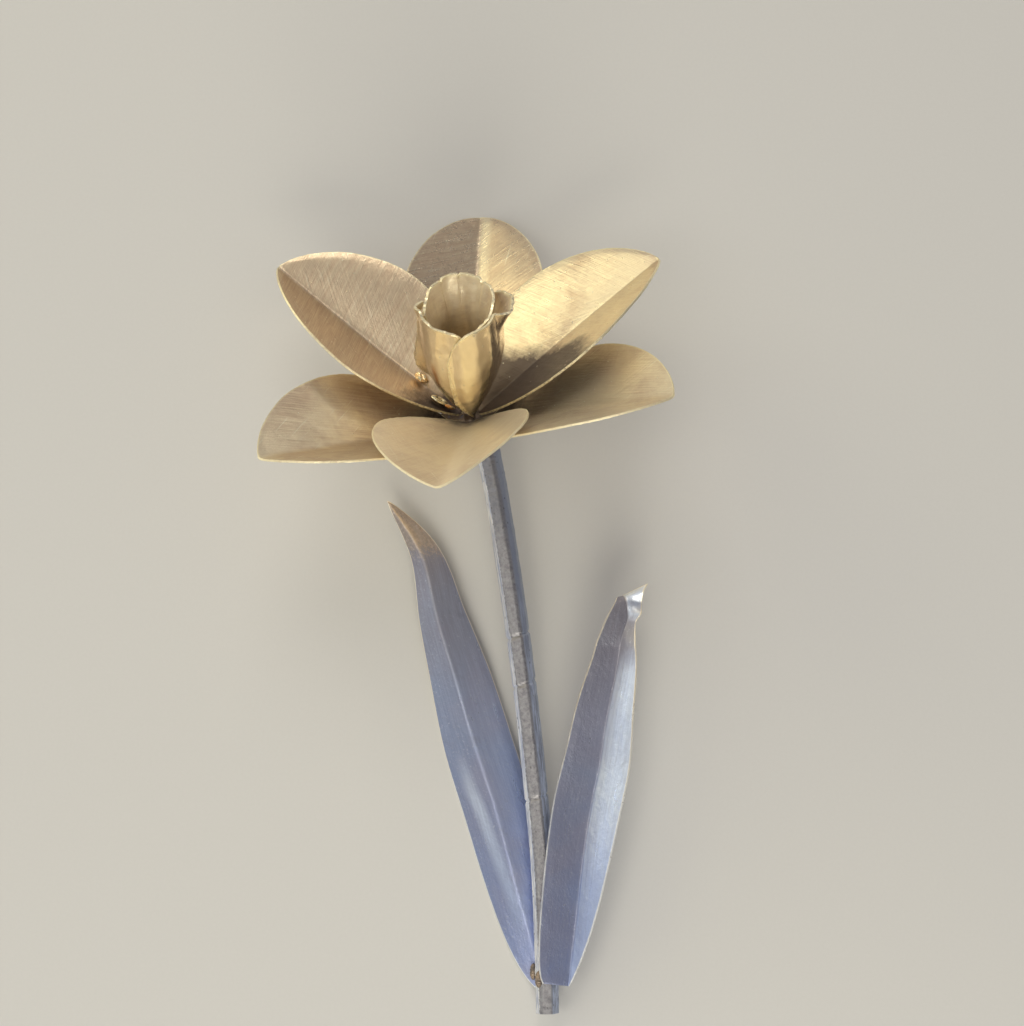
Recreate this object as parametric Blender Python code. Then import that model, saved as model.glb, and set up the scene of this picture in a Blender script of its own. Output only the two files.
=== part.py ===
"""A daffodil made of sheet metal: folded brass petals, a rolled trumpet, a ground bar stem and two steel leaves.

It lies on its back, as it would on a table: the stem runs along +Y towards the flower, +X is to the right
and +Z is up. The origin is under the middle of the whole part, on the surface that it lies on.
"""

import math

import bmesh
import bpy
from mathutils import Matrix, Vector

MM = 0.001

# Flower as a whole: its centre, and the way its axis leans up from the surface and to the side
FLOWER_CENTRE = Vector((0.7, 46.9, 20.65)) * MM
FLOWER_RISE = math.radians(51.0)
FLOWER_TURN = math.radians(-8.0)

# Sheet: what petals and leaves are cut from
SHEET = 0.8 * MM
BEND_RADIUS = 1.0 * MM
GAP = 0.3 * MM

# Petal blank: a pointed oval, widest half way along
PETAL_LENGTH = 64.0 * MM
PETAL_WIDTH = 43.0 * MM
PETAL_ROOT = 0.015
PETAL_ROOT_SWELL = 0.88
PETAL_TIP_SWELL = 0.68
INNER_LAYER = {"radius": 2.0 * MM, "height": 2.5 * MM}
OUTER_LAYER = {"radius": 3.0 * MM, "height": -1.0 * MM}

# Petals: the angle round the flower, the rise of the crease, the roll about it, the fold of each half, the curl
PETALS = {
    "petal_upper_left": (INNER_LAYER, 149.0, 30.5, -3.5, 32.5, 5.5),
    "petal_upper_right": (INNER_LAYER, 22.5, 29.5, -5.5, 20.5, -4.5),
    "petal_front": (INNER_LAYER, 266.0, 27.0, 3.0, 23.0, -2.0),
    "petal_back": (OUTER_LAYER, 86.0, 22.0, 3.0, 24.0, -15.5),
    "petal_lower_right": (OUTER_LAYER, 334.0, 26.5, -3.5, 18.0, -9.5),
    "petal_lower_left": (OUTER_LAYER, 215.0, 23.0, -2.5, 25.0, -4.0),
}
PETAL_ROWS = 16
PETAL_COLUMNS = (0.0, 0.1, 0.5, 1.0)
# The petal whose tip is ground flat where the part rests on it, and the block that grinds it
RESTING_PETAL = "petal_back"
GRINDER_SIZE = Vector((120.0, 160.0, 20.0)) * MM

# Trumpet: three lobes of one cup, nested where they overlap
CUP_FOOT = 5.6 * MM
CUP_HEIGHT = 36.1 * MM
CUP_RADIUS = 10.5 * MM
CUP_BELLY = 26.0 * MM
CUP_FOOT_LEAD = 2.0 * MM
CUP_BACK_RISE = 1.7 * MM
CUP_LEAN = 0.03
LOBE_STEP = 1.15 * MM
LOBE_FOOT_SHARE = 0.5
LOBE_FULL_WRAP = 0.42
LOBE_ROWS = 14
# For each lobe: its middle round the flower, half its wrap, its place in the nest at its first and last end, how
# high its foot is, how low its first and last top corner come, and how many columns it has
LOBES = {
    "trumpet_back": (52.5, 137.5, (-1.0, -1.0), 3.4 * MM, (0.16, 0.06), 24),
    "trumpet_left": (226.0, 50.0, (0.0, 0.0), 1.8 * MM, (0.03, 0.16), 14),
    "trumpet_right": (319.0, 66.0, (1.0, 0.0), 0.2 * MM, (0.19, 0.03), 16),
}
# Lip: the last part of the right lobe's rim is turned out, from a share of the height on
LIP_REACH = 3.4 * MM
LIP_DROP = 1.5 * MM
LIP_START = 0.12
LIP_FULL = 0.40
LIP_FOOT = 0.80
# Flange: the left lobe's free edge stands off the cup, by more at its lower corner than at the rim, and its top
# corner reaches that much further round
FLANGE_REACH = (3.2 * MM, 0.9 * MM)
FLANGE_START = 0.80
FLANGE_LEVELS = (0.26, 0.42, 0.80)
FLANGE_CORNER = 9.0

# Stem: a ground bar, given by the points that its centre line passes
STEM_WIDTH = 6.2 * MM
STEM_SIDES = 8
STEM_ROWS = 16
STEM_TWIST = math.radians(24.0)
STEM_ROUTE = (
    (21.3, -109.6, 5.0),
    (20.9, -93.0, 6.15),
    (19.9, -70.0, 7.95),
    (17.7, -46.0, 9.9),
    (14.7, -19.0, 12.0),
    (11.4, 5.0, 13.9),
    (7.9, 27.0, 15.6),
    (5.6, 39.0, 16.65),
)

# Neck: the weld between the stem and the petals, with a cupped washer under them, as rings of height, radius and
# shift towards the stem
NECK_SIDES = 20
NECK_RINGS = (
    (-5.0, 4.6, 2.2),
    (-3.6, 5.2, 1.8),
    (-2.3, 7.4, 0.3),
    (-1.4, 7.8, 0.1),
    (-1.9, 3.6, 0.0),
    (-1.5, 3.2, 0.0),
    (2.0, 3.0, 0.0),
    (2.2, 1.6, 0.0),
    (4.9, 1.7, 0.0),
)

# Leaves: the points that each crease passes, and how the blade's roll and fold change from base to tip
LEAF_ROWS = 24
LEAF_COLUMNS = (0.0, 0.12, 0.55, 1.0)
LEAF_ROOT = 0.01
LEFT_LEAF = {
    "route": (
        (20.5, -104.0, 1.4),
        (16.0, -87.5, 3.35),
        (11.5, -71.0, 4.9),
        (7.0, -54.5, 5.35),
        (1.5, -38.0, 5.45),
        (-3.5, -21.0, 6.0),
        (-8.5, -4.5, 6.2),
        (-13.0, 13.0, 6.5),
        (-22.5, 28.0, 6.5),
    ),
    "roll": (-3.0, 6.0, 7.0, 9.0, 9.0, 4.0),
    "fold": (-15.0, -24.0, -25.0, -32.0, -28.0),
    "widths": (10.2, 10.8),
    "peaks": (0.40, 0.49),
    "swells": ((0.51, 1.03), (0.50, 0.75)),
}
RIGHT_LEAF = {
    "route": (
        (26.5, -103.5, 8.1),
        (28.0, -91.5, 8.2),
        (29.5, -79.5, 8.4),
        (31.0, -67.5, 8.8),
        (33.0, -55.0, 9.2),
        (35.5, -43.0, 10.0),
        (37.5, -30.5, 11.5),
        (40.0, -18.5, 13.0),
        (42.0, -6.5, 15.5),
        (48.0, 4.0, 17.0),
    ),
    "roll": (2.0, 7.0, 8.0, 8.0, 8.0, 6.0),
    "fold": (25.0, 30.0, 29.0, 33.0, 28.0),
    "widths": (10.9, 9.9),
    "peaks": (0.42, 0.50),
    "swells": ((0.13, 0.58), (0.91, 1.00)),
}

# Braze: drops on the upper left petal, given as places along and across it, with their half sizes
BRAZE_DROPS = {
    "braze_foot": (0.11, 0.42, (2.6, 1.2, 0.8)),
    "braze_left": (0.235, -0.06, (1.5, 1.0, 0.9)),
}
BRAZE_SEAT = 0.45 * MM

# Leaf welds: the beads that join the leaves to the foot of the stem
LEAF_BEADS = {
    "weld_right_leaf": ((18.9, -100.6, 9.5), (1.0, 2.2, 0.8)),
    "weld_left_leaf": ((17.5, -99.0, 3.4), (0.9, 2.2, 0.7)),
}

COLOURS = {
    "brass": ((0.62, 0.47, 0.25), 0.38),
    "braze": ((0.70, 0.48, 0.20), 0.30),
    "steel": ((0.42, 0.45, 0.52), 0.42),
    "weld": ((0.30, 0.27, 0.26), 0.55),
}


def clear_scene():
    for thing in list(bpy.data.objects):
        bpy.data.objects.remove(thing, do_unlink=True)


def make_material(name):
    colour, roughness = COLOURS[name]
    material = bpy.data.materials.new(name)
    material.use_nodes = True
    shader = material.node_tree.nodes["Principled BSDF"]
    shader.inputs["Base Color"].default_value = (*colour, 1.0)
    shader.inputs["Metallic"].default_value = 1.0
    shader.inputs["Roughness"].default_value = roughness
    return material


def add_object(name, bm, material):
    mesh = bpy.data.meshes.new(name)
    bm.to_mesh(mesh)
    bm.free()
    mesh.materials.append(make_material(material))
    mesh.shade_smooth()
    mesh.set_sharp_from_angle(angle=math.radians(40.0))
    thing = bpy.data.objects.new(name, mesh)
    bpy.context.collection.objects.link(thing)
    return thing


def flower_matrix():
    """Right, back and axis of the flower as columns, with its centre as the origin."""
    axis = Vector((
        math.sin(FLOWER_TURN) * math.cos(FLOWER_RISE),
        math.cos(FLOWER_TURN) * math.cos(FLOWER_RISE),
        math.sin(FLOWER_RISE),
    ))
    right = (Vector((1.0, 0.0, 0.0)) - axis * axis.x).normalized()
    back = axis.cross(right)
    turned = Matrix((right, back, axis)).transposed().to_4x4()
    return Matrix.Translation(FLOWER_CENTRE) @ turned


def swell(place, peak, root_power, tip_power):
    """Share of a blade's full half width at a place from 0, its root, to 1, its tip."""
    if place < peak:
        reach = 0.5 * place / peak
        power = root_power
    else:
        reach = 0.5 + 0.5 * (place - peak) / (1.0 - peak)
        power = tip_power
    return max(0.0, 4.0 * reach * (1.0 - reach)) ** power


def through(values, place):
    """A smooth curve through evenly spaced numbers or vectors, read at a place from 0 to 1."""
    last = len(values) - 1
    at = min(max(place, 0.0), 1.0) * last
    i = min(int(at), last - 1)
    f = at - i
    before = values[i - 1] if i > 0 else values[0] * 2.0 - values[1]
    after = values[i + 2] if i + 2 <= last else values[last] * 2.0 - values[last - 1]
    start = (values[i + 1] - before) * 0.5
    end = (after - values[i]) * 0.5
    return (
        values[i] * (2.0 * f ** 3 - 3.0 * f ** 2 + 1.0)
        + start * (f ** 3 - 2.0 * f ** 2 + f)
        + values[i + 1] * (3.0 * f ** 2 - 2.0 * f ** 3)
        + end * (f ** 3 - f ** 2)
    )


def fold_across(across, fold):
    """Sideways and upward parts of a place across a sheet that is folded along its middle."""
    reach = abs(across)
    sideways = math.copysign(reach * math.cos(fold), across)
    upward = math.sin(fold) * (math.hypot(reach, BEND_RADIUS) - BEND_RADIUS)
    return sideways, upward


def petal_frame(petal, place):
    """Crease point of a petal, with the directions across it and out of it, all in the flower's frame."""
    layer, turn, rise, roll, fold, curl = petal
    turn, rise, roll, curl = (math.radians(v) for v in (turn, rise, roll, curl))
    outward = Vector((math.cos(turn), math.sin(turn), 0.0))
    around = Vector((-math.sin(turn), math.cos(turn), 0.0))
    axis = Vector((0.0, 0.0, 1.0))
    start = rise - curl / 2.0
    slope = start + curl * place
    radius = layer["radius"] + (math.sin(slope) - math.sin(start)) * PETAL_LENGTH / curl
    height = layer["height"] - (math.cos(slope) - math.cos(start)) * PETAL_LENGTH / curl
    normal = axis * math.cos(slope) - outward * math.sin(slope)
    across = around * math.cos(roll) + normal * math.sin(roll)
    out = normal * math.cos(roll) - around * math.sin(roll)
    return outward * radius + axis * height, across, out


def petal_point(petal, place, share):
    """Point on the middle of a petal's sheet: place along it, and share of its half width across it."""
    crease, across, out = petal_frame(petal, place)
    half = PETAL_WIDTH / 2.0 * swell(place, 0.5, PETAL_ROOT_SWELL, PETAL_TIP_SWELL)
    sideways, upward = fold_across(half * share, math.radians(petal[4]))
    return crease + across * sideways + out * upward


def mirrored(columns):
    return [-c for c in reversed(columns[1:])] + list(columns)


def sheet_mesh(rows):
    """Closed sheet around a grid of points that lie on its middle, cut alike on both faces."""
    bm = bmesh.new()
    grid = [[bm.verts.new(p) for p in row] for row in rows]
    for low, high in zip(grid, grid[1:]):
        for i in range(len(low) - 1):
            bm.faces.new((low[i], low[i + 1], high[i + 1], high[i]))
    bmesh.ops.remove_doubles(bm, verts=bm.verts, dist=0.00005)
    bmesh.ops.triangulate(bm, faces=bm.faces)
    bmesh.ops.recalc_face_normals(bm, faces=bm.faces)
    return bm


def add_thickness(thing):
    solid = thing.modifiers.new("sheet", "SOLIDIFY")
    solid.thickness = SHEET
    solid.offset = 0.0
    solid.use_even_offset = True


def petal_rows(petal):
    columns = mirrored(PETAL_COLUMNS)
    rows = []
    for i in range(PETAL_ROWS + 1):
        left = (PETAL_ROWS - i) / PETAL_ROWS
        place = 1.0 - (1.0 - PETAL_ROOT) * left ** 1.5
        rows.append([petal_point(petal, place, share) for share in columns])
    return rows


def make_petal(name):
    bm = sheet_mesh(petal_rows(PETALS[name]))
    bm.transform(flower_matrix())
    thing = add_object(name, bm, "brass")
    add_thickness(thing)
    return thing


def ramp(value, start, end):
    """A smooth step from 0 at start to 1 at end."""
    f = min(max((value - start) / (end - start), 0.0), 1.0)
    return f * f * (3.0 - 2.0 * f)


def cup_profile(height):
    """Radius of the cup's wall at a height above its foot."""
    angle = math.pi / 2.0 * (height + CUP_FOOT_LEAD) / CUP_BELLY
    wall = math.sin(min(angle, math.pi / 2.0)) ** 0.9
    pinch = 0.05 * max(0.0, height / CUP_BELLY - 1.0)
    return CUP_RADIUS * (wall - pinch)


def flange_reach(up):
    """How far the flange's edge stands off the cup, at a share of the way from foot to rim."""
    foot, corner, rim = FLANGE_LEVELS
    low, high = FLANGE_REACH
    return ramp(up, foot, corner) * (low + (high - low) * ramp(up, corner, rim))


def lobe_point(name, up, share):
    """Point on the middle of a lobe's sheet: up from foot to rim, and share of its wrap from its middle."""
    middle, wrap, nest, foot, drops, columns = LOBES[name]
    narrowed = max(0.0, 1.0 - up / LOBE_FULL_WRAP) ** 2
    width = 1.0 - (1.0 - LOBE_FOOT_SHARE) * narrowed
    lip = ramp(share, LIP_START, LIP_FULL) if name == "trumpet_right" else 0.0
    flange = ramp(-share, FLANGE_START, 1.0) if name == "trumpet_left" else 0.0
    corner = FLANGE_CORNER * flange * ramp(up, 0.8, 1.0)
    angle = math.radians(middle + wrap * width * share - corner)
    drop = drops[0] if share < 0.0 else drops[1]
    rim = CUP_HEIGHT * (1.0 - drop * abs(share) ** 7) + CUP_BACK_RISE * math.sin(angle) - LIP_DROP * lip
    height = foot + (rim - foot) * up
    step = 0.02 * MM
    slope = (cup_profile(height + step) - cup_profile(height)) / step
    lean = math.hypot(1.0, slope)
    offset = LOBE_STEP * (nest[0] + (nest[1] - nest[0]) * ramp(share, -0.8, 0.2))
    turned_out = LIP_REACH * lip * max(0.0, (up - LIP_FOOT) / (1.0 - LIP_FOOT)) ** 1.5
    turned_out += flange * flange_reach(up)
    reach = cup_profile(height) + offset / lean + turned_out
    along = height - offset * slope / lean
    return Vector((math.cos(angle) * reach + CUP_LEAN * along, math.sin(angle) * reach, CUP_FOOT + along))


def make_lobe(name):
    columns = LOBES[name][-1]
    rows = []
    for i in range(LOBE_ROWS + 1):
        up = (i / LOBE_ROWS) ** 1.25
        rows.append([lobe_point(name, up, 2.0 * j / columns - 1.0) for j in range(columns + 1)])
    bm = sheet_mesh(rows)
    bm.transform(flower_matrix())
    thing = add_object(name, bm, "brass")
    add_thickness(thing)
    return thing


def loft(rings):
    """Closed solid through rings of points, with a flat end at each side."""
    bm = bmesh.new()
    loops = [[bm.verts.new(p) for p in ring] for ring in rings]
    count = len(loops[0])
    for low, high in zip(loops, loops[1:]):
        for i in range(count):
            j = (i + 1) % count
            bm.faces.new((low[i], low[j], high[j], high[i]))
    bm.faces.new(loops[0])
    bm.faces.new(loops[-1])
    bmesh.ops.triangulate(bm, faces=bm.faces)
    bmesh.ops.recalc_face_normals(bm, faces=bm.faces)
    return bm


def along_route(route, place):
    """Point and direction on a route that is given in millimetres."""
    points = [Vector(p) * MM for p in route]
    here = through(points, place)
    ahead = through(points, min(place + 0.01, 1.0))
    behind = through(points, max(place - 0.01, 0.0))
    return here, (ahead - behind).normalized()


def make_stem():
    up = Vector((0.0, 0.0, 1.0))
    rings = []
    for i in range(STEM_ROWS + 1):
        place = i / STEM_ROWS
        here, ahead = along_route(STEM_ROUTE, place)
        side = ahead.cross(up).normalized()
        over = side.cross(ahead)
        ring = []
        for j in range(STEM_SIDES):
            angle = 2.0 * math.pi * (j + 0.5) / STEM_SIDES + STEM_TWIST * place
            corner = STEM_WIDTH / 2.0 / math.cos(math.pi / STEM_SIDES)
            ring.append(here + (side * math.cos(angle) + over * math.sin(angle)) * corner)
        rings.append(ring)
    rings[-1] = mitre(rings[-1], along_route(STEM_ROUTE, 1.0)[1])
    return add_object("stem", loft(rings), "steel")


def mitre(ring, ahead):
    """Slides a ring along the stem until it lies just under the neck's flat underside."""
    flower = flower_matrix()
    axis = flower.col[2].to_3d()
    plane = FLOWER_CENTRE + axis * (NECK_RINGS[0][0] * MM - GAP)
    return [p + ahead * ((plane - p).dot(axis) / ahead.dot(axis)) for p in ring]


def make_neck():
    rings = []
    for height, radius, shift in NECK_RINGS:
        ring = []
        for j in range(NECK_SIDES):
            angle = 2.0 * math.pi * j / NECK_SIDES
            spot = Vector((radius * math.cos(angle) + shift, radius * math.sin(angle), height))
            ring.append(spot * MM)
        rings.append(ring)
    bm = loft(rings)
    bm.transform(flower_matrix())
    return add_object("neck_weld", bm, "weld")


def leaf_point(leaf, place, share):
    """Point on the middle of a leaf's sheet: place along its crease, and share of its half width across it."""
    here, ahead = along_route(leaf["route"], place)
    across = ahead.cross(Vector((0.0, 0.0, 1.0))).normalized()
    out = across.cross(ahead)
    roll = math.radians(through(leaf["roll"], place))
    fold = math.radians(through(leaf["fold"], place))
    side = 0 if share < 0.0 else 1
    half = leaf["widths"][side] * MM * swell(place, leaf["peaks"][side], *leaf["swells"][side])
    sideways, upward = fold_across(half * share, fold)
    rolled_across = across * math.cos(roll) + out * math.sin(roll)
    rolled_out = out * math.cos(roll) - across * math.sin(roll)
    return here + rolled_across * sideways + rolled_out * upward


def make_leaf(name, leaf):
    columns = mirrored(LEAF_COLUMNS)
    rows = []
    for i in range(LEAF_ROWS + 1):
        left = (LEAF_ROWS - i) / LEAF_ROWS
        place = 1.0 - (1.0 - LEAF_ROOT) * left ** 1.2
        rows.append([leaf_point(leaf, place, share) for share in columns])
    thing = add_object(name, sheet_mesh(rows), "steel")
    add_thickness(thing)
    return thing


def make_drop(name, material, matrix, half_size):
    bm = bmesh.new()
    bmesh.ops.create_icosphere(bm, subdivisions=2, radius=1.0)
    bmesh.ops.scale(bm, vec=Vector(half_size) * MM, verts=bm.verts)
    bm.transform(matrix)
    return add_object(name, bm, material)


def make_braze(name):
    """A drop that sits on the upper left petal."""
    place, share, half_size = BRAZE_DROPS[name]
    petal = PETALS["petal_upper_left"]
    spot = petal_point(petal, place, share)
    along = (petal_point(petal, place + 0.01, share) - spot).normalized()
    across = (petal_point(petal, place, share + 0.05) - spot).normalized()
    out = along.cross(across).normalized()
    if out.z < 0.0:
        out = -out
    lift = SHEET / 2.0 + BRAZE_SEAT + half_size[2] * MM
    turned = Matrix((along, out.cross(along), out)).transposed().to_4x4()
    matrix = flower_matrix() @ Matrix.Translation(spot + out * lift) @ turned
    return make_drop(name, "braze", matrix, half_size)


def grind_flat(thing):
    """Grinds off what lies under the surface that the part rests on, which leaves a small flat spot."""
    bm = bmesh.new()
    bmesh.ops.create_cube(bm, size=1.0)
    bmesh.ops.scale(bm, vec=GRINDER_SIZE, verts=bm.verts)
    bmesh.ops.translate(bm, vec=(0.0, FLOWER_CENTRE.y, -GRINDER_SIZE.z / 2.0), verts=bm.verts)
    mesh = bpy.data.meshes.new("grinder")
    bm.to_mesh(mesh)
    bm.free()
    grinder = bpy.data.objects.new("grinder", mesh)
    bpy.context.collection.objects.link(grinder)
    grinder.hide_render = True
    grinder.display_type = "WIRE"
    cut = thing.modifiers.new("rest_spot", "BOOLEAN")
    cut.operation = "DIFFERENCE"
    cut.object = grinder


def main():
    clear_scene()
    for name in PETALS:
        petal = make_petal(name)
        if name == RESTING_PETAL:
            grind_flat(petal)
    for name in LOBES:
        make_lobe(name)
    make_neck()
    make_stem()
    make_leaf("leaf_left", LEFT_LEAF)
    make_leaf("leaf_right", RIGHT_LEAF)
    for name in BRAZE_DROPS:
        make_braze(name)
    for name, (place, half_size) in LEAF_BEADS.items():
        make_drop(name, "weld", Matrix.Translation(Vector(place) * MM), half_size)


main()
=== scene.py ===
"""Sheet-metal daffodil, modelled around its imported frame.

Folded brass petals, a rolled brass trumpet, a ground bar stem, two folded steel leaves, welds and drops of
braze. Each operator makes one piece or one group of like pieces, and the last one makes the stage.
"""

import math

import bpy
from bpy.props import FloatProperty, FloatVectorProperty, IntProperty, PointerProperty
from bpy.types import Operator, Panel, PropertyGroup
from mathutils import Matrix, Vector, noise


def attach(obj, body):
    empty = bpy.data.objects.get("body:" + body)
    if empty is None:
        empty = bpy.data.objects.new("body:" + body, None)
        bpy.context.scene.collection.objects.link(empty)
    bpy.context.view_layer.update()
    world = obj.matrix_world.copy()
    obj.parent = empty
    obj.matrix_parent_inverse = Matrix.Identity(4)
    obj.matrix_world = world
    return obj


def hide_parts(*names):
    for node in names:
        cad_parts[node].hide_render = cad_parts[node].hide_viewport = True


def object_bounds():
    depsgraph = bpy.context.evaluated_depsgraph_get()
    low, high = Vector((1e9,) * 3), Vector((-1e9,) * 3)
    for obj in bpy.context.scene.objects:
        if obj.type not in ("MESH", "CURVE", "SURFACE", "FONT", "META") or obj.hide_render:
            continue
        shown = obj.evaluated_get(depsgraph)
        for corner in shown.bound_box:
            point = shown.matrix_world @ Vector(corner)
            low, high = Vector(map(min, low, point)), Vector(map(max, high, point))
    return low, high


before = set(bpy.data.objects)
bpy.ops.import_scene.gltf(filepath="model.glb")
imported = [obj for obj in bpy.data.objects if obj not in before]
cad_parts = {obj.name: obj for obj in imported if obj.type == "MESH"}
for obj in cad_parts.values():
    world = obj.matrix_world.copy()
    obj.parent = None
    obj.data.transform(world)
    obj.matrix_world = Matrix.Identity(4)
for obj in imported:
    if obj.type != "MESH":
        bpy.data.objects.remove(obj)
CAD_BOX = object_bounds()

bl_info = {
    "name": "Sheet-metal daffodil",
    "version": (1, 0, 0),
    "blender": (4, 5, 0),
    "location": "3D View > Sidebar > Daffodil",
    "description": "Models a daffodil of folded brass and steel sheet, lying on a pale floor",
    "category": "Add Mesh",
}

MM = 0.001
BODY = "root"
UV_NAME = "sheet"
EDGE_NAME = "edge"
INSIDE_NAME = "inside"

# Flower as a whole: its centre, and the way its axis leans up from the surface and to the side
FLOWER_CENTRE = Vector((0.7, 46.9, 20.65)) * MM
FLOWER_RISE = math.radians(51.0)
FLOWER_TURN = math.radians(-8.0)

# Petals, in millimetres and degrees. layer: radius and height of the root. pose: angle round the flower,
# rise, roll, fold and curl. crease: radius of the fold. bows: how far each half sags between crease and
# edge. grain: the way the sanding scratches run. finish, band and pale: see brass_sheet; band is a painted
# highlight and pale a painted lightening.
UPPER_LAYER = (2.0, 2.5)
LOWER_LAYER = (3.0, -1.0)
PETALS = {
    "petal_upper_left": {
        "layer": UPPER_LAYER,
        "pose": (149.0, 30.5, -3.5, 32.5, 5.5),
        "crease": 0.9,
        "bows": (-0.80, 0.75),
        "grain": 78.0,
        "finish": (1.6, 0.13, 0.26, (0.96, 0.88), (6.0, 14.0)),
    },
    "petal_upper_right": {
        "layer": UPPER_LAYER,
        "pose": (22.5, 29.5, -5.5, 20.5, -4.5),
        "crease": 0.3,
        "bows": (0.60, -0.60),
        "grain": 66.0,
        # The dark tint reaches far up this petal's lower half: heat tint, and painted shade of the
        # trumpet's cast shadow
        "finish": (0.4, 0.15, 0.24, (0.97, 0.90), (36.0, 16.0)),
    },
    "petal_front": {
        "layer": UPPER_LAYER,
        "pose": (266.0, 27.0, 3.0, 23.0, -2.0),
        "crease": 1.3,
        "bows": (0.45, 0.45),
        "grain": 20.0,
        "finish": (0.6, 0.14, 0.32, (0.58, 0.46), (6.0, 6.0)),
        "band": (3.0, 3.4),
        "pale": 0.3,
    },
    "petal_back": {
        "layer": LOWER_LAYER,
        "pose": (86.0, 22.0, 3.0, 24.0, -15.5),
        "crease": 0.9,
        "bows": (-0.55, 0.30),
        "grain": 62.0,
        "finish": (1.4, 0.17, 0.22, (0.97, 0.90), (10.0, 10.0)),
        "band": (-2.0, 2.4),
    },
    "petal_lower_right": {
        "layer": LOWER_LAYER,
        "pose": (334.0, 26.5, -3.5, 18.0, -9.5),
        "crease": 1.0,
        "bows": (0.35, 0.35),
        "grain": 5.0,
        "finish": (0.5, 0.14, 0.28, (0.74, 0.62), (12.0, 12.0)),
    },
    "petal_lower_left": {
        "layer": LOWER_LAYER,
        "pose": (215.0, 23.0, -2.5, 25.0, -4.0),
        "crease": 1.0,
        "bows": (0.30, 0.55),
        "grain": 12.0,
        "finish": (0.8, 0.14, 0.28, (0.86, 0.74), (9.0, 9.0)),
    },
}
PETAL_ROOT = 0.015
PETAL_SWELLS = (0.88, 0.68)
PETAL_TRIM = 0.010
# Half width of a blank that the bows are given for
PETAL_FULL_HALF = 21.5 * MM
PETAL_ROWS = 150
PETAL_COLUMNS = 56
RESTING_PETAL = "petal_back"

# Trumpet lobes, in millimetres and degrees. middle and wrap: angle round the flower, and half of what it
# wraps. nest: place in the nest at the first and last end. foot: height of the foot. drops: how low the
# first and last top corners come. columns: columns of its grid. grain, band and stained: as for the petals.
LOBES = {
    "trumpet_back": {
        "middle": 52.5,
        "wrap": 137.5,
        "nest": (-1.0, -1.0),
        "foot": 3.4,
        "drops": (0.16, 0.06),
        "columns": 220,
        "grain": 88.0,
        "band": (0.0, 4.5),
    },
    "trumpet_left": {
        "middle": 226.0,
        "wrap": 50.0,
        "nest": (0.0, 0.0),
        "foot": 1.8,
        "drops": (0.03, 0.07),
        "columns": 90,
        "grain": 6.0,
        "band": (2.2, 3.4),
        "stained": (0.0, 16.5),
    },
    "trumpet_right": {
        "middle": 325.0,
        "wrap": 72.0,
        "nest": (1.0, 0.0),
        "foot": 0.2,
        "drops": (0.24, 0.12),
        "columns": 130,
        "grain": 6.0,
        "band": (-8.0, 2.8),
    },
}
LOBE_ROWS = 110
LOBE_FINISH = (0.35, 0.05, 0.12, (0.97, 0.92), (3.0, 3.0))
# Width of the lobes' bright rim: bare cut brass with a painted highlight
LOBE_BRIGHT_RIM = 0.95
# How far the lobes are painted paler all over, as painted light
LOBE_PAINTED_PALE = 0.15
# Cup that the lobes follow: height of its foot, height of its widest place, how far its curve starts under
# the foot, how much higher its rim is at the back, and how far it leans
CUP_FOOT = 5.6 * MM
CUP_BELLY = 26.0 * MM
CUP_FOOT_LEAD = 2.0 * MM
CUP_BACK_RISE = 2.0 * MM
CUP_LEAN = 0.03
# Lobes on the cup: step from layer to layer, width of the foot, height of the full wrap, waist of the back
# lobe, curl of the lapping edge, and how rough the hand work is
LOBE_STEP = 1.15 * MM
LOBE_FOOT_SHARE = 0.5
LOBE_FULL_WRAP = 0.42
BACK_WAIST = 2.8 * MM
LAP_CURL = 0.55 * MM
LOBE_CHIPS = 0.045
LOBE_FACETS = 0.40 * MM
LOBE_HAMMERING = 0.12 * MM
FACET_WIDTH = 3.6 * MM
RIM_RIPPLE = 0.42 * MM
# Lip on the right lobe: its reach, drop, place along the rim, height where it starts, and its pleats
LIP_REACH = 3.4 * MM
LIP_DROP = 1.5 * MM
LIP_START, LIP_FULL, LIP_FOOT = 0.04, 0.34, 0.80
LIP_PLEAT = 0.38 * MM
# Flange on the left lobe's free edge: its reach low down and at the rim, where it starts, the levels of its
# foot, corner and rim, how many degrees its corner is pulled out, and its curl
FLANGE_REACH = (3.2 * MM, 0.9 * MM)
FLANGE_START = 0.80
FLANGE_LEVELS = (0.26, 0.42, 0.80)
FLANGE_CORNER = 9.0
FLANGE_CURL = 1.0 * MM
# Tears in the back lobe's rim, each with a burr turned in: angle round the flower, half width and depth
RIM_TEARS = ((123.0, 2.2, 0.45), (91.0, 1.8, 0.50), (46.0, 3.0, 0.50))
RIM_BURR = 0.50 * MM

# Stem: the points that its centre line passes, and how its facets turn along it
STEM_ROUTE = (
    (21.3, -109.6, 5.0), (20.9, -93.0, 6.15), (19.9, -70.0, 7.95),
    (17.7, -46.0, 9.9), (14.7, -19.0, 12.0), (11.4, 5.0, 13.9),
    (7.9, 27.0, 15.6), (5.6, 39.0, 16.65),
)
STEM_LENGTH = 157.0 * MM
STEM_REACH = 148.6 * MM
STEM_SIDES = 8
STEM_ROWS = 360
STEM_TWIST = math.radians(24.0)
# Nicks across the bar: how far up it, and half width
STEM_NICKS = ((61.9, 0.35), (87.4, 0.3), (99.0, 0.4))

# Neck: the weld and the cupped washer under the petals, as rings of height, radius and shift towards the
# stem
NECK_RINGS = (
    (-5.0, 4.6, 2.2), (-3.6, 5.2, 1.8), (-2.2, 7.4, 0.3),
    (-1.1, 9.9, 0.0), (-0.6, 10.1, 0.0), (-1.9, 3.6, 0.0),
    (-1.5, 3.2, 0.0), (2.0, 3.0, 0.0), (2.2, 1.6, 0.0),
    (4.9, 1.7, 0.0),
)

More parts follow.
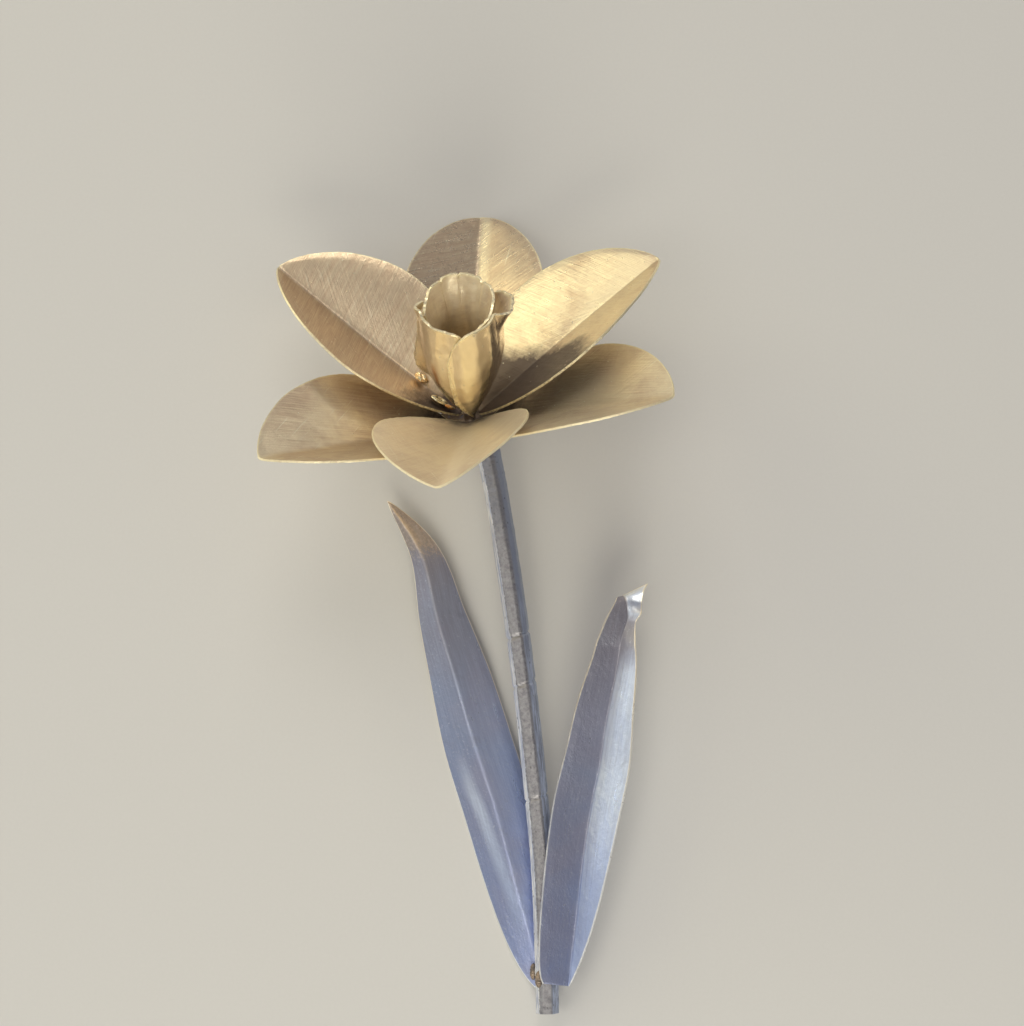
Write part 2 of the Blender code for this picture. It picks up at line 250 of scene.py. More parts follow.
# Leaves, in millimetres and degrees: the points that each crease passes, how the blade's roll and fold
# change from base to tip, and the half widths, widest places and swells of its two sides
LEAVES = {
    "leaf_left": {
        "route": (
            (20.5, -104.0, 1.4), (16.0, -87.5, 3.35), (11.5, -71.0, 4.9),
            (7.0, -54.5, 5.35), (1.5, -38.0, 5.45), (-3.5, -21.0, 6.0),
            (-8.5, -4.5, 6.2), (-13.0, 13.0, 6.5), (-22.5, 28.0, 6.5),
        ),
        "roll": (-3.0, 6.0, 7.0, 9.0, 9.0, 4.0),
        "fold": (-15.0, -24.0, -25.0, -32.0, -28.0),
        "widths": (10.2, 10.8),
        "peaks": (0.40, 0.49),
        "swells": ((0.51, 1.03), (0.50, 0.75)),
    },
    "leaf_right": {
        "route": (
            (26.5, -103.5, 8.1), (28.0, -91.5, 8.2), (29.5, -79.5, 8.4),
            (31.0, -67.5, 8.8), (33.0, -55.0, 9.2), (35.5, -43.0, 10.0),
            (37.5, -30.5, 11.5), (40.0, -18.5, 13.0), (42.0, -6.5, 15.5),
            (48.0, 4.0, 17.0),
        ),
        "roll": (2.0, 7.0, 8.0, 8.0, 8.0, 6.0),
        "fold": (25.0, 30.0, 29.0, 33.0, 28.0),
        "widths": (10.9, 9.9),
        "peaks": (0.42, 0.50),
        "swells": ((0.13, 0.58), (0.91, 1.00)),
    },
}
# Right leaf's bent end, cut off at a slant: left edge, crease and right edge of each row
LEAF_END = (
    ((32.6, -18.8, 16.3), (40.4, -17.9, 13.3), (44.9, -17.6, 16.2)),
    ((34.6, -12.1, 17.0), (41.3, -11.6, 14.7), (44.9, -11.7, 16.3)),
    ((36.4, -6.6, 17.6), (42.7, -6.0, 15.5), (45.0, -6.3, 16.1)),
    ((37.7, -3.9, 17.6), (42.8, -3.6, 15.9), (46.4, -4.0, 17.4)),
    ((39.2, -1.3, 17.3), (42.3, -1.0, 16.5), (46.6, -1.0, 15.6)),
    ((39.8, 0.1, 16.9), (41.8, 0.4, 15.8), (47.0, 1.6, 17.6)),
    ((40.1, 0.4, 16.6), (41.5, 0.9, 15.6), (48.2, 4.0, 18.0)),
)
LEAF_END_START = 0.84
LEAF_END_HALF = 4.0 * MM
LEAF_ROOT = 0.01
LEAF_ROWS = 200
LEAF_COLUMNS = 40
LEAF_CREASE = 0.35

# Cut edges: thickness beside the full sheet on petals and leaves and on lobes, how far in it is thinned,
# how much rougher a lobe's burrs are, and the bluntest angle that is still rounded
EDGE_THINNED = 0.65
LOBE_EDGE_THINNED = 0.85
THINNED_REACH = 2.5 * MM
LOBE_BATTERED = 2.4
ROUNDED_ANGLE = math.radians(55.0)

# Braze on the upper left petal: place along it, share across it and half sizes
BRAZE_LOOP = (0.11, 0.44, (2.8, 1.4, 0.8))
BRAZE_BLOB = (0.235, -0.06, (2.1, 1.2, 0.9))
BRAZE_DROP = (0.06, 0.62, (1.7, 0.7, 0.6))
BRAZE_SEAT = 0.45 * MM

# Beads that join the leaves to the foot of the stem: place and half sizes
LEAF_BEADS = {
    "weld_right_leaf": ((18.9, -100.6, 9.5), (1.0, 2.2, 0.8)),
    "weld_left_leaf": ((17.5, -99.0, 3.4), (0.9, 2.2, 0.7)),
}

# Colours that the metals take where they are mottled, brushed, scored, heat-tinted, specked, smudged or
# pitted,
# and the colours of painted light: painted highlights and paleness, painted shade at the petals' roots and
# low inside the trumpet, and a painted blue reflection on the steel
BRASS_MOTTLED = (0.76, 0.61, 0.43)
BRASS_BRUSHED = (1.0, 0.90, 0.66)
BRASS_SCORED = (1.0, 0.95, 0.76)
BRASS_PAINTED_PALE = (1.0, 0.90, 0.70)
BRASS_HIGHLIGHT = (1.0, 0.89, 0.66)
BRASS_BURNT_AND_SHADED = (0.12, 0.095, 0.09)
BRASS_SPECK = (1.0, 0.95, 0.78)
BRASS_INNER_SHADE = (0.26, 0.21, 0.16)
STEEL_REFLECTED_BLUE = (0.38, 0.46, 0.74)
STEEL_LILAC = (0.46, 0.43, 0.53)
STEEL_BROWN = (0.38, 0.33, 0.33)
STEEL_TANS = ((0.50, 0.40, 0.30), (0.66, 0.52, 0.40))
STEEL_BRUSHED = (0.74, 0.78, 0.88)
STEEL_SMUDGED = (0.30, 0.31, 0.40)
STEEL_PITTED = (0.78, 0.80, 0.86)
STEEL_HIGHLIGHT = ((0.77, 0.85, 1.0), (0.46, 0.56, 0.86))
STEEL_WARM_EDGE = (1.0, 0.93, 0.80)
# What the left leaf's two halves are multiplied by: painted shade on its left half, painted light on its
# right half
LEAF_HALF_SHADING = ((0.82, 0.85, 0.93), (1.16, 1.20, 1.26))

# Softboxes, each with the stage's power of that name: place, width and height in metres, and colour
LIGHT_AIM = Vector((0.0, 20.0, 15.0)) * MM
SOFTBOXES = {
    "key": ((-0.83, 0.58, 0.46), (0.62, 0.62), (1.0, 0.91, 0.56)),
    "strip": ((0.05, -0.98, 0.30), (0.36, 0.52), (1.0, 0.94, 0.78)),
    "mouth": ((0.05, -0.80, 0.72), (0.50, 0.40), (1.0, 0.94, 0.76)),
    "top": ((-0.42, -0.30, 1.10), (0.55, 0.55), (1.0, 0.96, 0.86)),
    "bloom": ((-0.10, 0.72, 0.90), (0.50, 0.50), (1.0, 0.93, 0.80)),
    "card": ((0.66, 0.82, 0.11), (0.55, 0.18), (1.0, 0.92, 0.82)),
    "side": ((-1.0, 0.10, 0.14), (0.50, 0.24), (0.80, 0.90, 1.0)),
}
SKY_LEFT = (1.0, 0.97, 0.90, 1.0)
SKY_RIGHT = (0.47, 0.46, 0.49, 1.0)

# Camera: where it aims, how it leans back from straight down, how far off it is and its lens
CAMERA_TARGET = Vector((11.81, 23.2, 17.3)) * MM
CAMERA_ELEVATION = math.radians(82.0)
CAMERA_DISTANCE = 0.6
CAMERA_SENSOR = 36.0
PHOTO_WIDTH = 1024
MM_PER_PIXEL = 0.27


class DaffodilSheet(PropertyGroup):
    """Sizes of the sheet and of what is cut from it."""

    thickness: FloatProperty(
        name="Sheet thickness",
        description="Thickness of the petals, lobes and leaves",
        default=0.8 * MM,
        min=0.6 * MM,
        unit="LENGTH",
    )
    edge_round: FloatProperty(
        name="Edge rounding",
        description="How far the cut edges are rounded off",
        default=0.16 * MM,
        unit="LENGTH",
    )
    petal_length: FloatProperty(
        name="Petal length", description="Length of a petal's blank", default=64.0 * MM, unit="LENGTH"
    )
    petal_width: FloatProperty(
        name="Petal width", description="Width of a petal's blank", default=43.0 * MM, unit="LENGTH"
    )
    cup_height: FloatProperty(
        name="Trumpet height", description="Height of the trumpet's wall", default=36.1 * MM, unit="LENGTH"
    )
    cup_radius: FloatProperty(
        name="Trumpet radius", description="Radius of the trumpet's wall", default=10.5 * MM, unit="LENGTH"
    )
    dents: FloatProperty(
        name="Dents",
        description="How far the hand-worked sheet strays from its smooth form",
        default=0.22 * MM,
        unit="LENGTH",
    )
    burrs: FloatProperty(
        name="Burrs", description="Height of the burrs on the cut edges", default=0.07 * MM, unit="LENGTH"
    )


class DaffodilStem(PropertyGroup):
    """Sizes of the bar and of its welds."""

    width: FloatProperty(
        name="Bar width", description="Width of the bar across its flats", default=6.2 * MM, unit="LENGTH"
    )
    hammering: FloatProperty(
        name="Grinding marks",
        description="How far the bar's hand-ground facets stray from flat",
        default=0.10 * MM,
        unit="LENGTH",
    )
    notch_depth: FloatProperty(
        name="Notch depth",
        description="Depth of the saw nicks across the bar",
        default=0.50 * MM,
        unit="LENGTH",
    )
    bead_ripples: IntProperty(
        name="Bead ripples", description="Ripples along each weld bead", default=9, min=1
    )


class DaffodilFinish(PropertyGroup):
    """Colours of the metals."""

    brass: FloatVectorProperty(
        name="Brass", description="Brushed brass", subtype="COLOR", default=(0.90, 0.77, 0.55)
    )
    brass_tint: FloatVectorProperty(
        name="Brass tint",
        description="Pinkish brown tint on the brass",
        subtype="COLOR",
        default=(0.67, 0.51, 0.36),
    )
    # Bright edges: bare cut metal, with a painted highlight
    brass_edge: FloatVectorProperty(
        name="Brass edge", description="Freshly cut brass edges", subtype="COLOR", default=(1.0, 0.90, 0.62)
    )
    copper: FloatVectorProperty(
        name="Copper", description="Copper-coloured braze", subtype="COLOR", default=(0.85, 0.42, 0.16)
    )
    steel: FloatVectorProperty(
        name="Steel", description="Satin steel of the leaves", subtype="COLOR", default=(0.38, 0.41, 0.50)
    )
    # Bright ground edges: bare ground steel, with a painted highlight
    steel_edge: FloatVectorProperty(
        name="Steel edge", description="Ground steel edges", subtype="COLOR", default=(0.95, 0.97, 1.0)
    )
    scale: FloatVectorProperty(
        name="Mill scale",
        description="Brown-grey scale on the bar",
        subtype="COLOR",
        default=(0.27, 0.265, 0.29),
    )


class DaffodilStage(PropertyGroup):
    """The floor and the lights."""

    floor: FloatVectorProperty(
        name="Floor", description="Colour of the floor", subtype="COLOR", default=(0.70, 0.70, 0.70)
    )
    sky: FloatProperty(name="Sky", description="Strength of the even light", default=0.48)
    key: FloatProperty(name="Key", description="Power of the main softbox", default=1.95, unit="POWER")
    strip: FloatProperty(
        name="Strip", description="Power of the low front softbox", default=3.0, unit="POWER"
    )
    mouth: FloatProperty(
        name="Mouth", description="Power of the softbox for the trumpet", default=3.0, unit="POWER"
    )
    top: FloatProperty(name="Top", description="Power of the softbox overhead", default=1.2, unit="POWER")
    bloom: FloatProperty(
        name="Bloom", description="Power of the softbox that faces the flower", default=2.4, unit="POWER"
    )
    card: FloatProperty(
        name="Card", description="Power of the low softbox at the back", default=0.42, unit="POWER"
    )
    side: FloatProperty(
        name="Side", description="Power of the cool side softbox", default=0.5, unit="POWER"
    )


class Recipe:
    """The nodes of one material, built up from simple steps. Each step returns a socket."""

    def __init__(self, name):
        self.material = bpy.data.materials.new(name)
        self.material.use_nodes = True
        self.tree = self.material.node_tree
        self.shader = self.tree.nodes["Principled BSDF"]

    def node(self, kind, inputs=None, **settings):
        made = self.tree.nodes.new("ShaderNode" + kind)
        for key, value in settings.items():
            setattr(made, key, value)
        for key, value in (inputs or {}).items():
            self.put(made.inputs[key], value)
        return made

    def put(self, socket, value):
        if isinstance(value, bpy.types.NodeSocket):
            self.tree.links.new(value, socket)
        elif socket.type == "RGBA" and len(value) == 3:
            socket.default_value = (*value, 1.0)
        else:
            socket.default_value = value

    def object_space(self):
        return self.node("TexCoord").outputs["Object"]

    def sheet_space(self):
        return self.node("UVMap", uv_map=UV_NAME).outputs["UV"]

    def attribute(self, name):
        return self.node("Attribute", attribute_name=name).outputs["Fac"]

    def parts(self, vector):
        """The first and second part of a vector."""
        made = self.node("SeparateXYZ", {"Vector": vector})
        return made.outputs["X"], made.outputs["Y"]

    def turned(self, vector, turn=0.0, stretch=1.0):
        """Turns a pattern, then draws it out that many times along its second direction."""
        inputs = {"Vector": vector, "Rotation": (0.0, 0.0, turn), "Scale": (1.0, stretch, 1.0)}
        return self.node("Mapping", inputs, vector_type="TEXTURE").outputs["Vector"]

    def noise(self, vector, size, detail=3.0, roughness=0.5, distortion=0.0):
        """Noise whose lumps are about that size, in metres."""
        inputs = {
            "Vector": vector,
            "Scale": 1.0 / size,
            "Detail": detail,
            "Roughness": roughness,
            "Distortion": distortion,
        }
        return self.node("TexNoise", inputs).outputs["Fac"]

    def specks(self, vector, spacing, radius):
        """Round specks, one in each cell of that size: 1 in a speck and 0 outside."""
        cells = self.node("TexVoronoi", {"Vector": vector, "Scale": 1.0 / spacing, "Randomness": 1.0})
        return self.span(cells.outputs["Distance"], radius / spacing, 0.5 * radius / spacing)

    def span(self, value, low, high, to_low=0.0, to_high=1.0):
        """Follows a value from low to high, and stays at the ends beyond them."""
        inputs = {"Value": value, "From Min": low, "From Max": high, "To Min": to_low, "To Max": to_high}
        return self.node("MapRange", inputs).outputs["Result"]

    def maths(self, operation, a, b=0.0):
        made = self.node("Math", operation=operation)
        self.put(made.inputs[0], a)
        self.put(made.inputs[1], b)
        return made.outputs[0]

    def product(self, *factors):
        made = factors[0]
        for factor in factors[1:]:
            made = self.maths("MULTIPLY", made, factor)
        return made

    def away(self, value, middle):
        """How far a value is from a middle, on either side."""
        return self.maths("ABSOLUTE", self.maths("SUBTRACT", value, middle))

    def mix(self, factor, a, b, blend="MIX"):
        made = self.node("Mix", data_type="RGBA", blend_type=blend)
        self.put(made.inputs[0], factor)
        self.put(made.inputs[6], a)
        self.put(made.inputs[7], b)
        return made.outputs[2]

    def tinted(self, colour, towards, *shares):
        """A colour moved towards another one by the product of the shares."""
        return self.mix(self.product(*shares), colour, towards)

    def bumps(self, *layers):
        """Bumps laid over each other, each one a height and its depth in millimetres."""
        normal = None
        for height, depth in layers:
            made = self.node("Bump", {"Height": height, "Distance": depth * MM})
            if normal:
                self.put(made.inputs["Normal"], normal)
            normal = made.outputs["Normal"]
        return normal

    def finish(self, colour, roughness, normal=None, metallic=1.0):
        self.put(self.shader.inputs["Base Color"], colour)
        self.put(self.shader.inputs["Roughness"], roughness)
        self.put(self.shader.inputs["Metallic"], metallic)
        if normal:
            self.put(self.shader.inputs["Normal"], normal)
        return self.material


def brass_sheet(name, grain, finish, rim=0.55, pale=0.0, band=None, stained=None):
    """Brushed brass: scratches one way, pinkish brown clouds, dust specks and bright cut edges.

    finish holds the share of tint, the depth of the scratches, the least roughness, the metallic shares in
    clean and in clouded places, and how far up each half the dark tint at the root reaches, which is heat
    tint and painted shade. rim is the width of the bright edge, bare cut brass with a painted highlight,
    band the middle and half width of a painted highlight in a strip along the sheet, and stained the middle
    of a copper-coloured streak up it, all in millimetres. pale is how far the whole sheet is painted paler,
    as painted light, and grain the way the scratches run, in degrees.
    """
    tint_share, scratch_depth, smooth, pure, heat = finish
    colours = bpy.context.scene.daffodil_finish
    r = Recipe(name)
    space = r.object_space()
    sheet = r.sheet_space()
    across, up = r.parts(sheet)
    turn = math.radians(grain)
    clouds = r.noise(space, 15.0 * MM, detail=4.0, roughness=0.6, distortion=0.6)
    mottle = r.noise(space, 2.6 * MM, detail=6.0, roughness=0.7)
    fine = r.noise(r.turned(sheet, turn, 34.0), 0.34 * MM, detail=2.0)
    coarse = r.noise(r.turned(sheet, turn + 0.06, 14.0), 1.1 * MM, detail=4.0, roughness=0.7)
    crossed = r.noise(r.turned(sheet, turn - 0.8, 30.0), 0.5 * MM, detail=2.0)
    streaks = r.maths("ADD", r.product(fine, 0.5), r.product(coarse, 0.5))
    strayed = r.span(mottle, 0.3, 0.7, -2.0 * MM, 2.0 * MM)

    shift = 0.25 * tint_share
    clouded = r.span(clouds, 0.60 - shift, 0.78 - shift)
    colour = r.mix(clouded, tuple(colours.brass), tuple(colours.brass_tint))
    colour = r.tinted(colour, BRASS_MOTTLED, r.span(mottle, 0.40, 0.68, 0.0, 0.50))
    colour = r.tinted(colour, BRASS_BRUSHED, r.span(streaks, 0.42, 0.62, 0.0, 0.42))
    colour = r.tinted(colour, BRASS_SCORED, r.span(crossed, 0.66, 0.72), 0.6)
    # Painted light: the whole sheet is made paler, standing in for light that it catches
    colour = r.tinted(colour, BRASS_PAINTED_PALE, pale)
    # Painted highlight: a bright strip along the sheet
    if band:
        strip = r.span(r.away(across, band[0] * MM), band[1] * MM, 0.3 * band[1] * MM)
        colour = r.tinted(colour, BRASS_HIGHLIGHT, strip, r.span(mottle, 0.3, 0.6, 0.9, 0.5))
    if stained:
        streak = r.span(r.away(across, stained[0] * MM), 1.3 * MM, 0.2 * MM)
        ends = r.span(r.away(up, stained[1] * MM), 6.0 * MM, 2.0 * MM)
        colour = r.tinted(colour, tuple(colours.copper), streak, ends, 0.8)

    # Dark tint at the roots: heat tint, and painted shade where the trumpet's shadow falls on the upper
    # right petal
    reach = r.span(across, -9.0 * MM, 9.0 * MM, heat[0] * MM, heat[1] * MM)
    beyond = r.maths("ADD", r.maths("SUBTRACT", up, reach), strayed)
    burnt_and_shaded = r.span(beyond, 2.5 * MM, -3.5 * MM)
    colour = r.tinted(colour, BRASS_BURNT_AND_SHADED, burnt_and_shaded, 0.94)
    dusty = r.span(r.noise(space, 5.0 * MM), 0.40, 0.52)
    specks = r.product(r.specks(sheet, 2.3 * MM, 0.24 * MM), dusty)
    colour = r.tinted(colour, BRASS_SPECK, specks, 0.85)
    # The cut edges are painted bright: bare cut brass, with a painted highlight over it
    ragged = r.span(r.noise(space, 0.9 * MM, detail=4.0, roughness=0.7), 0.36, 0.54, 0.4, 1.0)
    bright = r.product(r.span(r.attribute(EDGE_NAME), rim * MM, 0.14 * MM), ragged)
    colour = r.tinted(colour, tuple(colours.brass_edge), bright)
    inside = r.attribute(INSIDE_NAME)
    # Painted shade low inside the trumpet, on the inner face and to one side
    side = r.span(r.maths("ADD", across, strayed), 5.0 * MM, 13.0 * MM)
    shaded_depth = r.span(r.maths("ADD", up, strayed), 32.0 * MM, 22.0 * MM)
    colour = r.tinted(colour, BRASS_INNER_SHADE, inside, side, shaded_depth, 0.62)

    roughness = r.span(streaks, 0.3, 0.7, smooth + 0.12, smooth)
    roughness = r.maths("ADD", roughness, r.span(mottle, 0.3, 0.7, -0.02, 0.06))
    for where, added in ((bright, 0.12), (inside, 0.24), (burnt_and_shaded, 0.14)):
        roughness = r.maths("ADD", roughness, r.product(where, added))
    metallic = r.maths("SUBTRACT", r.span(clouds, 0.3, 0.7, *pure), r.product(inside, 0.45))
    scratches = ((streaks, scratch_depth), (crossed, 0.4 * scratch_depth))
    normal = r.bumps(*scratches, (mottle, 0.10), (specks, 0.10))
    return r.finish(colour, roughness, normal, metallic)


def highlight_share(r, name, across, height):
    """Where a leaf gets a painted highlight: a long streak on the left one, and the right half of the right
    one.
    """
    if name == "leaf_right":
        blade = r.span(height, -13.0 * MM, -20.0 * MM)
        tip = r.span(height, -6.0 * MM, -4.0 * MM)
        return r.product(r.span(across, 0.2 * MM, 0.8 * MM), r.maths("MAXIMUM", blade, tip))
    middle = r.span(height, -50.0 * MM, -80.0 * MM, -5.4 * MM, -1.9 * MM)
    streak = r.span(r.away(across, middle), 2.8 * MM, 0.4 * MM)
    upper_end = r.span(height, -40.0 * MM, -54.0 * MM)
    lower_end = r.span(height, -94.0 * MM, -80.0 * MM)
    return r.product(streak, upper_end, lower_end)


def steel_sheet(name):
    """Satin steel: lengthways grain, lilac clouds, a tan tip, bright ground edges under a painted
    highlight, painted highlights and shade on the blades, and a painted blue reflection towards the foot.
    """
    colours = bpy.context.scene.daffodil_finish
    r = Recipe(name + "_steel")
    space = r.object_space()
    sheet = r.sheet_space()
    across = r.parts(sheet)[0]
    height = r.parts(space)[1]
    clouds = r.noise(space, 26.0 * MM, detail=3.0, roughness=0.55, distortion=0.4)
    pitted = r.noise(space, 0.8 * MM, detail=5.0, roughness=0.75)
    grain = r.noise(r.turned(sheet, 0.0, 24.0), 0.5 * MM, detail=3.0)
    smudges = r.noise(r.turned(sheet, 0.5, 2.0), 6.0 * MM, detail=4.0, roughness=0.7)
    hammered = r.noise(r.turned(sheet, 0.0, 1.8), 2.0 * MM, detail=1.0, distortion=0.4)
    drift = r.maths("ADD", height, r.span(clouds, 0.0, 1.0, -15.0 * MM, 15.0 * MM))
    ragged = r.maths("ADD", height, r.span(pitted, 0.3, 0.7, -3.0 * MM, 3.0 * MM))
    painted_highlight = highlight_share(r, name, across, height)

    # Painted reflection: the steel turns blue towards the leaves' foot, the blue it reflects there, given
    # as its own colour
    colour = r.mix(r.span(height, -100.0 * MM, -10.0 * MM), STEEL_REFLECTED_BLUE, tuple(colours.steel))
    colour = r.tinted(colour, STEEL_LILAC, r.span(clouds, 0.42, 0.66, 0.0, 0.5))
    colour = r.tinted(colour, STEEL_BROWN, r.span(drift, -25.0 * MM, 10.0 * MM, 0.0, 0.65))
    tan = r.mix(r.span(pitted, 0.4, 0.6), *STEEL_TANS)
    colour = r.tinted(colour, tan, r.span(ragged, 12.0 * MM, 16.0 * MM), 0.85)
    colour = r.tinted(colour, STEEL_BRUSHED, r.span(grain, 0.40, 0.68, 0.0, 0.18))
    # Painted shade on the left leaf's left half and painted light on its right half
    if name == "leaf_left":
        halves = r.mix(r.span(across, -0.4 * MM, 0.4 * MM), *LEAF_HALF_SHADING)
        colour = r.mix(1.0, colour, halves, "MULTIPLY")
    colour = r.tinted(colour, STEEL_SMUDGED, r.span(smudges, 0.58, 0.74, 0.0, 0.35))
    colour = r.tinted(colour, STEEL_PITTED, r.span(pitted, 0.58, 0.66, 0.0, 0.4))
    # Painted highlight where the leaf catches the light: a streak on the left leaf and the right half of
    # the right one
    white = r.mix(r.span(height, -45.0 * MM, -90.0 * MM), *STEEL_HIGHLIGHT)
    colour = r.tinted(colour, white, painted_highlight, r.span(grain, 0.35, 0.65, 0.68, 0.95))
    # The ground edges are painted bright: bare ground steel with a painted highlight, warm higher up and
    # cool lower down
    ground = r.mix(r.span(height, -60.0 * MM, -25.0 * MM), tuple(colours.steel_edge), STEEL_WARM_EDGE)
    colour = r.tinted(colour, ground, r.span(r.attribute(EDGE_NAME), 0.32 * MM, 0.14 * MM))

    roughness = r.span(grain, 0.3, 0.7, 0.34, 0.26)
    roughness = r.maths("ADD", roughness, r.span(smudges, 0.4, 0.8, 0.0, 0.10))
    dented = r.product(hammered, painted_highlight)
    normal = r.bumps((grain, 0.03), (pitted, 0.10), (smudges, 0.25), (dented, 0.16))
    return r.finish(colour, roughness, normal, 0.85)


def bar_steel(name):
    """The bar's steel: brown-grey with scale and nicks, a painted highlight on the side facing up and left,
    where it is also ground bright, and a painted cool blue reflection on the side facing right.
    """
    colours = bpy.context.scene.daffodil_finish
    r = Recipe(name)
    space = r.object_space()
    sheet = r.sheet_space()
    height = r.parts(space)[1]
    rough = r.noise(space, 1.1 * MM, detail=5.0, roughness=0.75)
    streaks = r.noise(r.turned(sheet, 0.0, 14.0), 0.6 * MM, detail=4.0, roughness=0.7)
    colour = r.mix(r.span(rough, 0.35, 0.65), tuple(colours.scale), (0.47, 0.465, 0.50))
    colour = r.tinted(colour, (0.20, 0.22, 0.28), r.span(height, 12.0 * MM, 24.0 * MM, 0.0, 0.5))
    flecks = r.product(r.span(streaks, 0.42, 0.58), r.span(height, 10.0 * MM, -30.0 * MM))
    # Painted cool blue reflection on the side that faces right, with paler flecks lower down
    colour = r.tinted(colour, r.mix(flecks, (0.34, 0.38, 0.49), (0.66, 0.74, 0.92)), r.attribute("blued"))
    # Painted highlight on the side that faces up and left, where the bar is also ground bright
    border = r.maths("ADD", r.attribute("ground"), r.span(rough, 0.3, 0.7, -0.45, 0.25))
    bright = r.mix(r.span(streaks, 0.38, 0.60), (0.52, 0.56, 0.70), (1.0, 1.0, 1.0))
    colour = r.tinted(colour, bright, r.span(border, 0.35, 0.6))
    pits = r.specks(r.turned(sheet, 0.0, 1.7), 1.7 * MM, 0.24 * MM)
    colour = r.tinted(colour, (0.10, 0.09, 0.09), pits, 0.6)
    return r.finish(colour, r.span(rough, 0.3, 0.7, 0.34, 0.54), r.bumps((streaks, 0.14), (rough, 0.20)))


def weld_metal(name):
    """Weld: dark scale with brown and blue heat colours over a rippled bead."""
    r = Recipe(name)
    space = r.object_space()
    clouds = r.noise(space, 2.2 * MM, detail=4.0, roughness=0.6)
    colour = r.mix(r.span(clouds, 0.35, 0.65), (0.20, 0.17, 0.15), (0.44, 0.34, 0.26))
    colour = r.tinted(colour, (0.24, 0.27, 0.40), r.span(r.noise(space, 1.3 * MM), 0.58, 0.70, 0.0, 0.7))
    grit = r.noise(space, 0.35 * MM, detail=5.0, roughness=0.7)
    return r.finish(colour, r.span(grit, 0.3, 0.7, 0.38, 0.62), r.bumps((grit, 0.10)))


def braze_metal(name, colour):
    """Braze: smooth and bright, where it ran and set."""
    r = Recipe(name)
    clouds = r.noise(r.object_space(), 1.0 * MM, detail=3.0)
    colour = r.mix(r.span(clouds, 0.46, 0.66), colour, (0.80, 0.74, 0.52))
    return r.finish(colour, r.span(clouds, 0.3, 0.7, 0.12, 0.28), r.bumps((clouds, 0.12)))


def plain_paint(name, colour):
    """The floor: matt, with a faint even tooth."""
    r = Recipe(name)
    tooth = r.noise(r.object_space(), 0.9 * MM, detail=3.0)
    shade = r.mix(r.span(tooth, 0.3, 0.7, 0.0, 0.05), tuple(colour), (0.5, 0.5, 0.5))
    return r.finish(shade, 0.9, metallic=0.0)


def swell(place, peak, root_power, tip_power):
    """Share of a blade's full half width at a place from 0, its root, to 1, its tip."""
    if place < peak:
        reach = 0.5 * place / peak
        power = root_power
    else:
        reach = 0.5 + 0.5 * (place - peak) / (1.0 - peak)
        power = tip_power
    return max(0.0, 4.0 * reach * (1.0 - reach)) ** power


def ramp(value, start, end):
    """A smooth step from 0 at start to 1 at end."""
    f = min(max((value - start) / (end - start), 0.0), 1.0)
    return f * f * (3.0 - 2.0 * f)


def through(values, place):
    """A smooth curve through evenly spaced numbers or vectors, read at a place from 0 to 1."""
    last = len(values) - 1
    at = min(max(place, 0.0), 1.0) * last
    i = min(int(at), last - 1)
    f = at - i
    before = values[i - 1] if i > 0 else values[0] * 2.0 - values[1]
    after = values[i + 2] if i + 2 <= last else values[last] * 2.0 - values[last - 1]
    start = (values[i + 1] - before) * 0.5
    end = (after - values[i]) * 0.5
    return (
        values[i] * (2.0 * f ** 3 - 3.0 * f ** 2 + 1.0)
        + start * (f ** 3 - 2.0 * f ** 2 + f)
        + values[i + 1] * (3.0 * f ** 2 - 2.0 * f ** 3)
        + end * (f ** 3 - f ** 2)
    )


def wander(point, size, seed=0.0):
    """Smooth noise from about -1 to 1 whose lumps are of that size, in metres."""
    return noise.noise(Vector(point) / size + Vector((seed * 17.3, seed * 5.1, seed * 9.7)))


def fold_across(across, fold, bend):
    """Sideways and upward parts of a place across a sheet that is folded along its middle."""
    reach = abs(across)
    sideways = math.copysign(reach * math.cos(fold), across)
    upward = math.sin(fold) * (math.hypot(reach, bend) - bend)
    return sideways, upward


def flower_matrix():
    """Right, back and axis of the flower as columns, with its centre as the origin."""
    axis = Vector((
        math.sin(FLOWER_TURN) * math.cos(FLOWER_RISE),
        math.cos(FLOWER_TURN) * math.cos(FLOWER_RISE),
        math.sin(FLOWER_RISE),
    ))
    right = (Vector((1.0, 0.0, 0.0)) - axis * axis.x).normalized()
    turned = Matrix((right, axis.cross(right), axis)).transposed().to_4x4()
    return Matrix.Translation(FLOWER_CENTRE) @ turned


def deselect():
    """Leaves edit mode and selects nothing."""
    if bpy.context.object and bpy.context.object.mode != "OBJECT":
        bpy.ops.object.mode_set(mode="OBJECT")
    bpy.ops.object.select_all(action="DESELECT")


def pick(thing):
    """Selects one object alone and makes it active."""
    deselect()
    thing.select_set(True)
    bpy.context.view_layer.objects.active = thing


def edit_all(thing):
    """Opens one object in edit mode, with all of its mesh selected."""
    pick(thing)
    bpy.ops.object.mode_set(mode="EDIT")
    bpy.ops.mesh.select_all(action="SELECT")


def smooth(thing, degrees):
    """Shades one object smooth, but for edges sharper than that."""
    pick(thing)
    bpy.ops.object.shade_smooth_by_angle(angle=math.radians(degrees))


def named(name):
    """The object that was just added, with a name for it and its mesh."""
    thing = bpy.context.object
    thing.name = name
    thing.data.name = name
    return thing


def clean_up(thing):
    """Merges doubles and turns the faces outwards, in edit mode."""
    edit_all(thing)
    bpy.ops.mesh.remove_doubles(threshold=0.02 * MM)
    bpy.ops.mesh.normals_make_consistent(inside=False)
    bpy.ops.object.mode_set(mode="OBJECT")


def apply_modifiers(thing):
    pick(thing)
    for modifier in list(thing.modifiers):
        bpy.ops.object.modifier_apply(modifier=modifier.name)


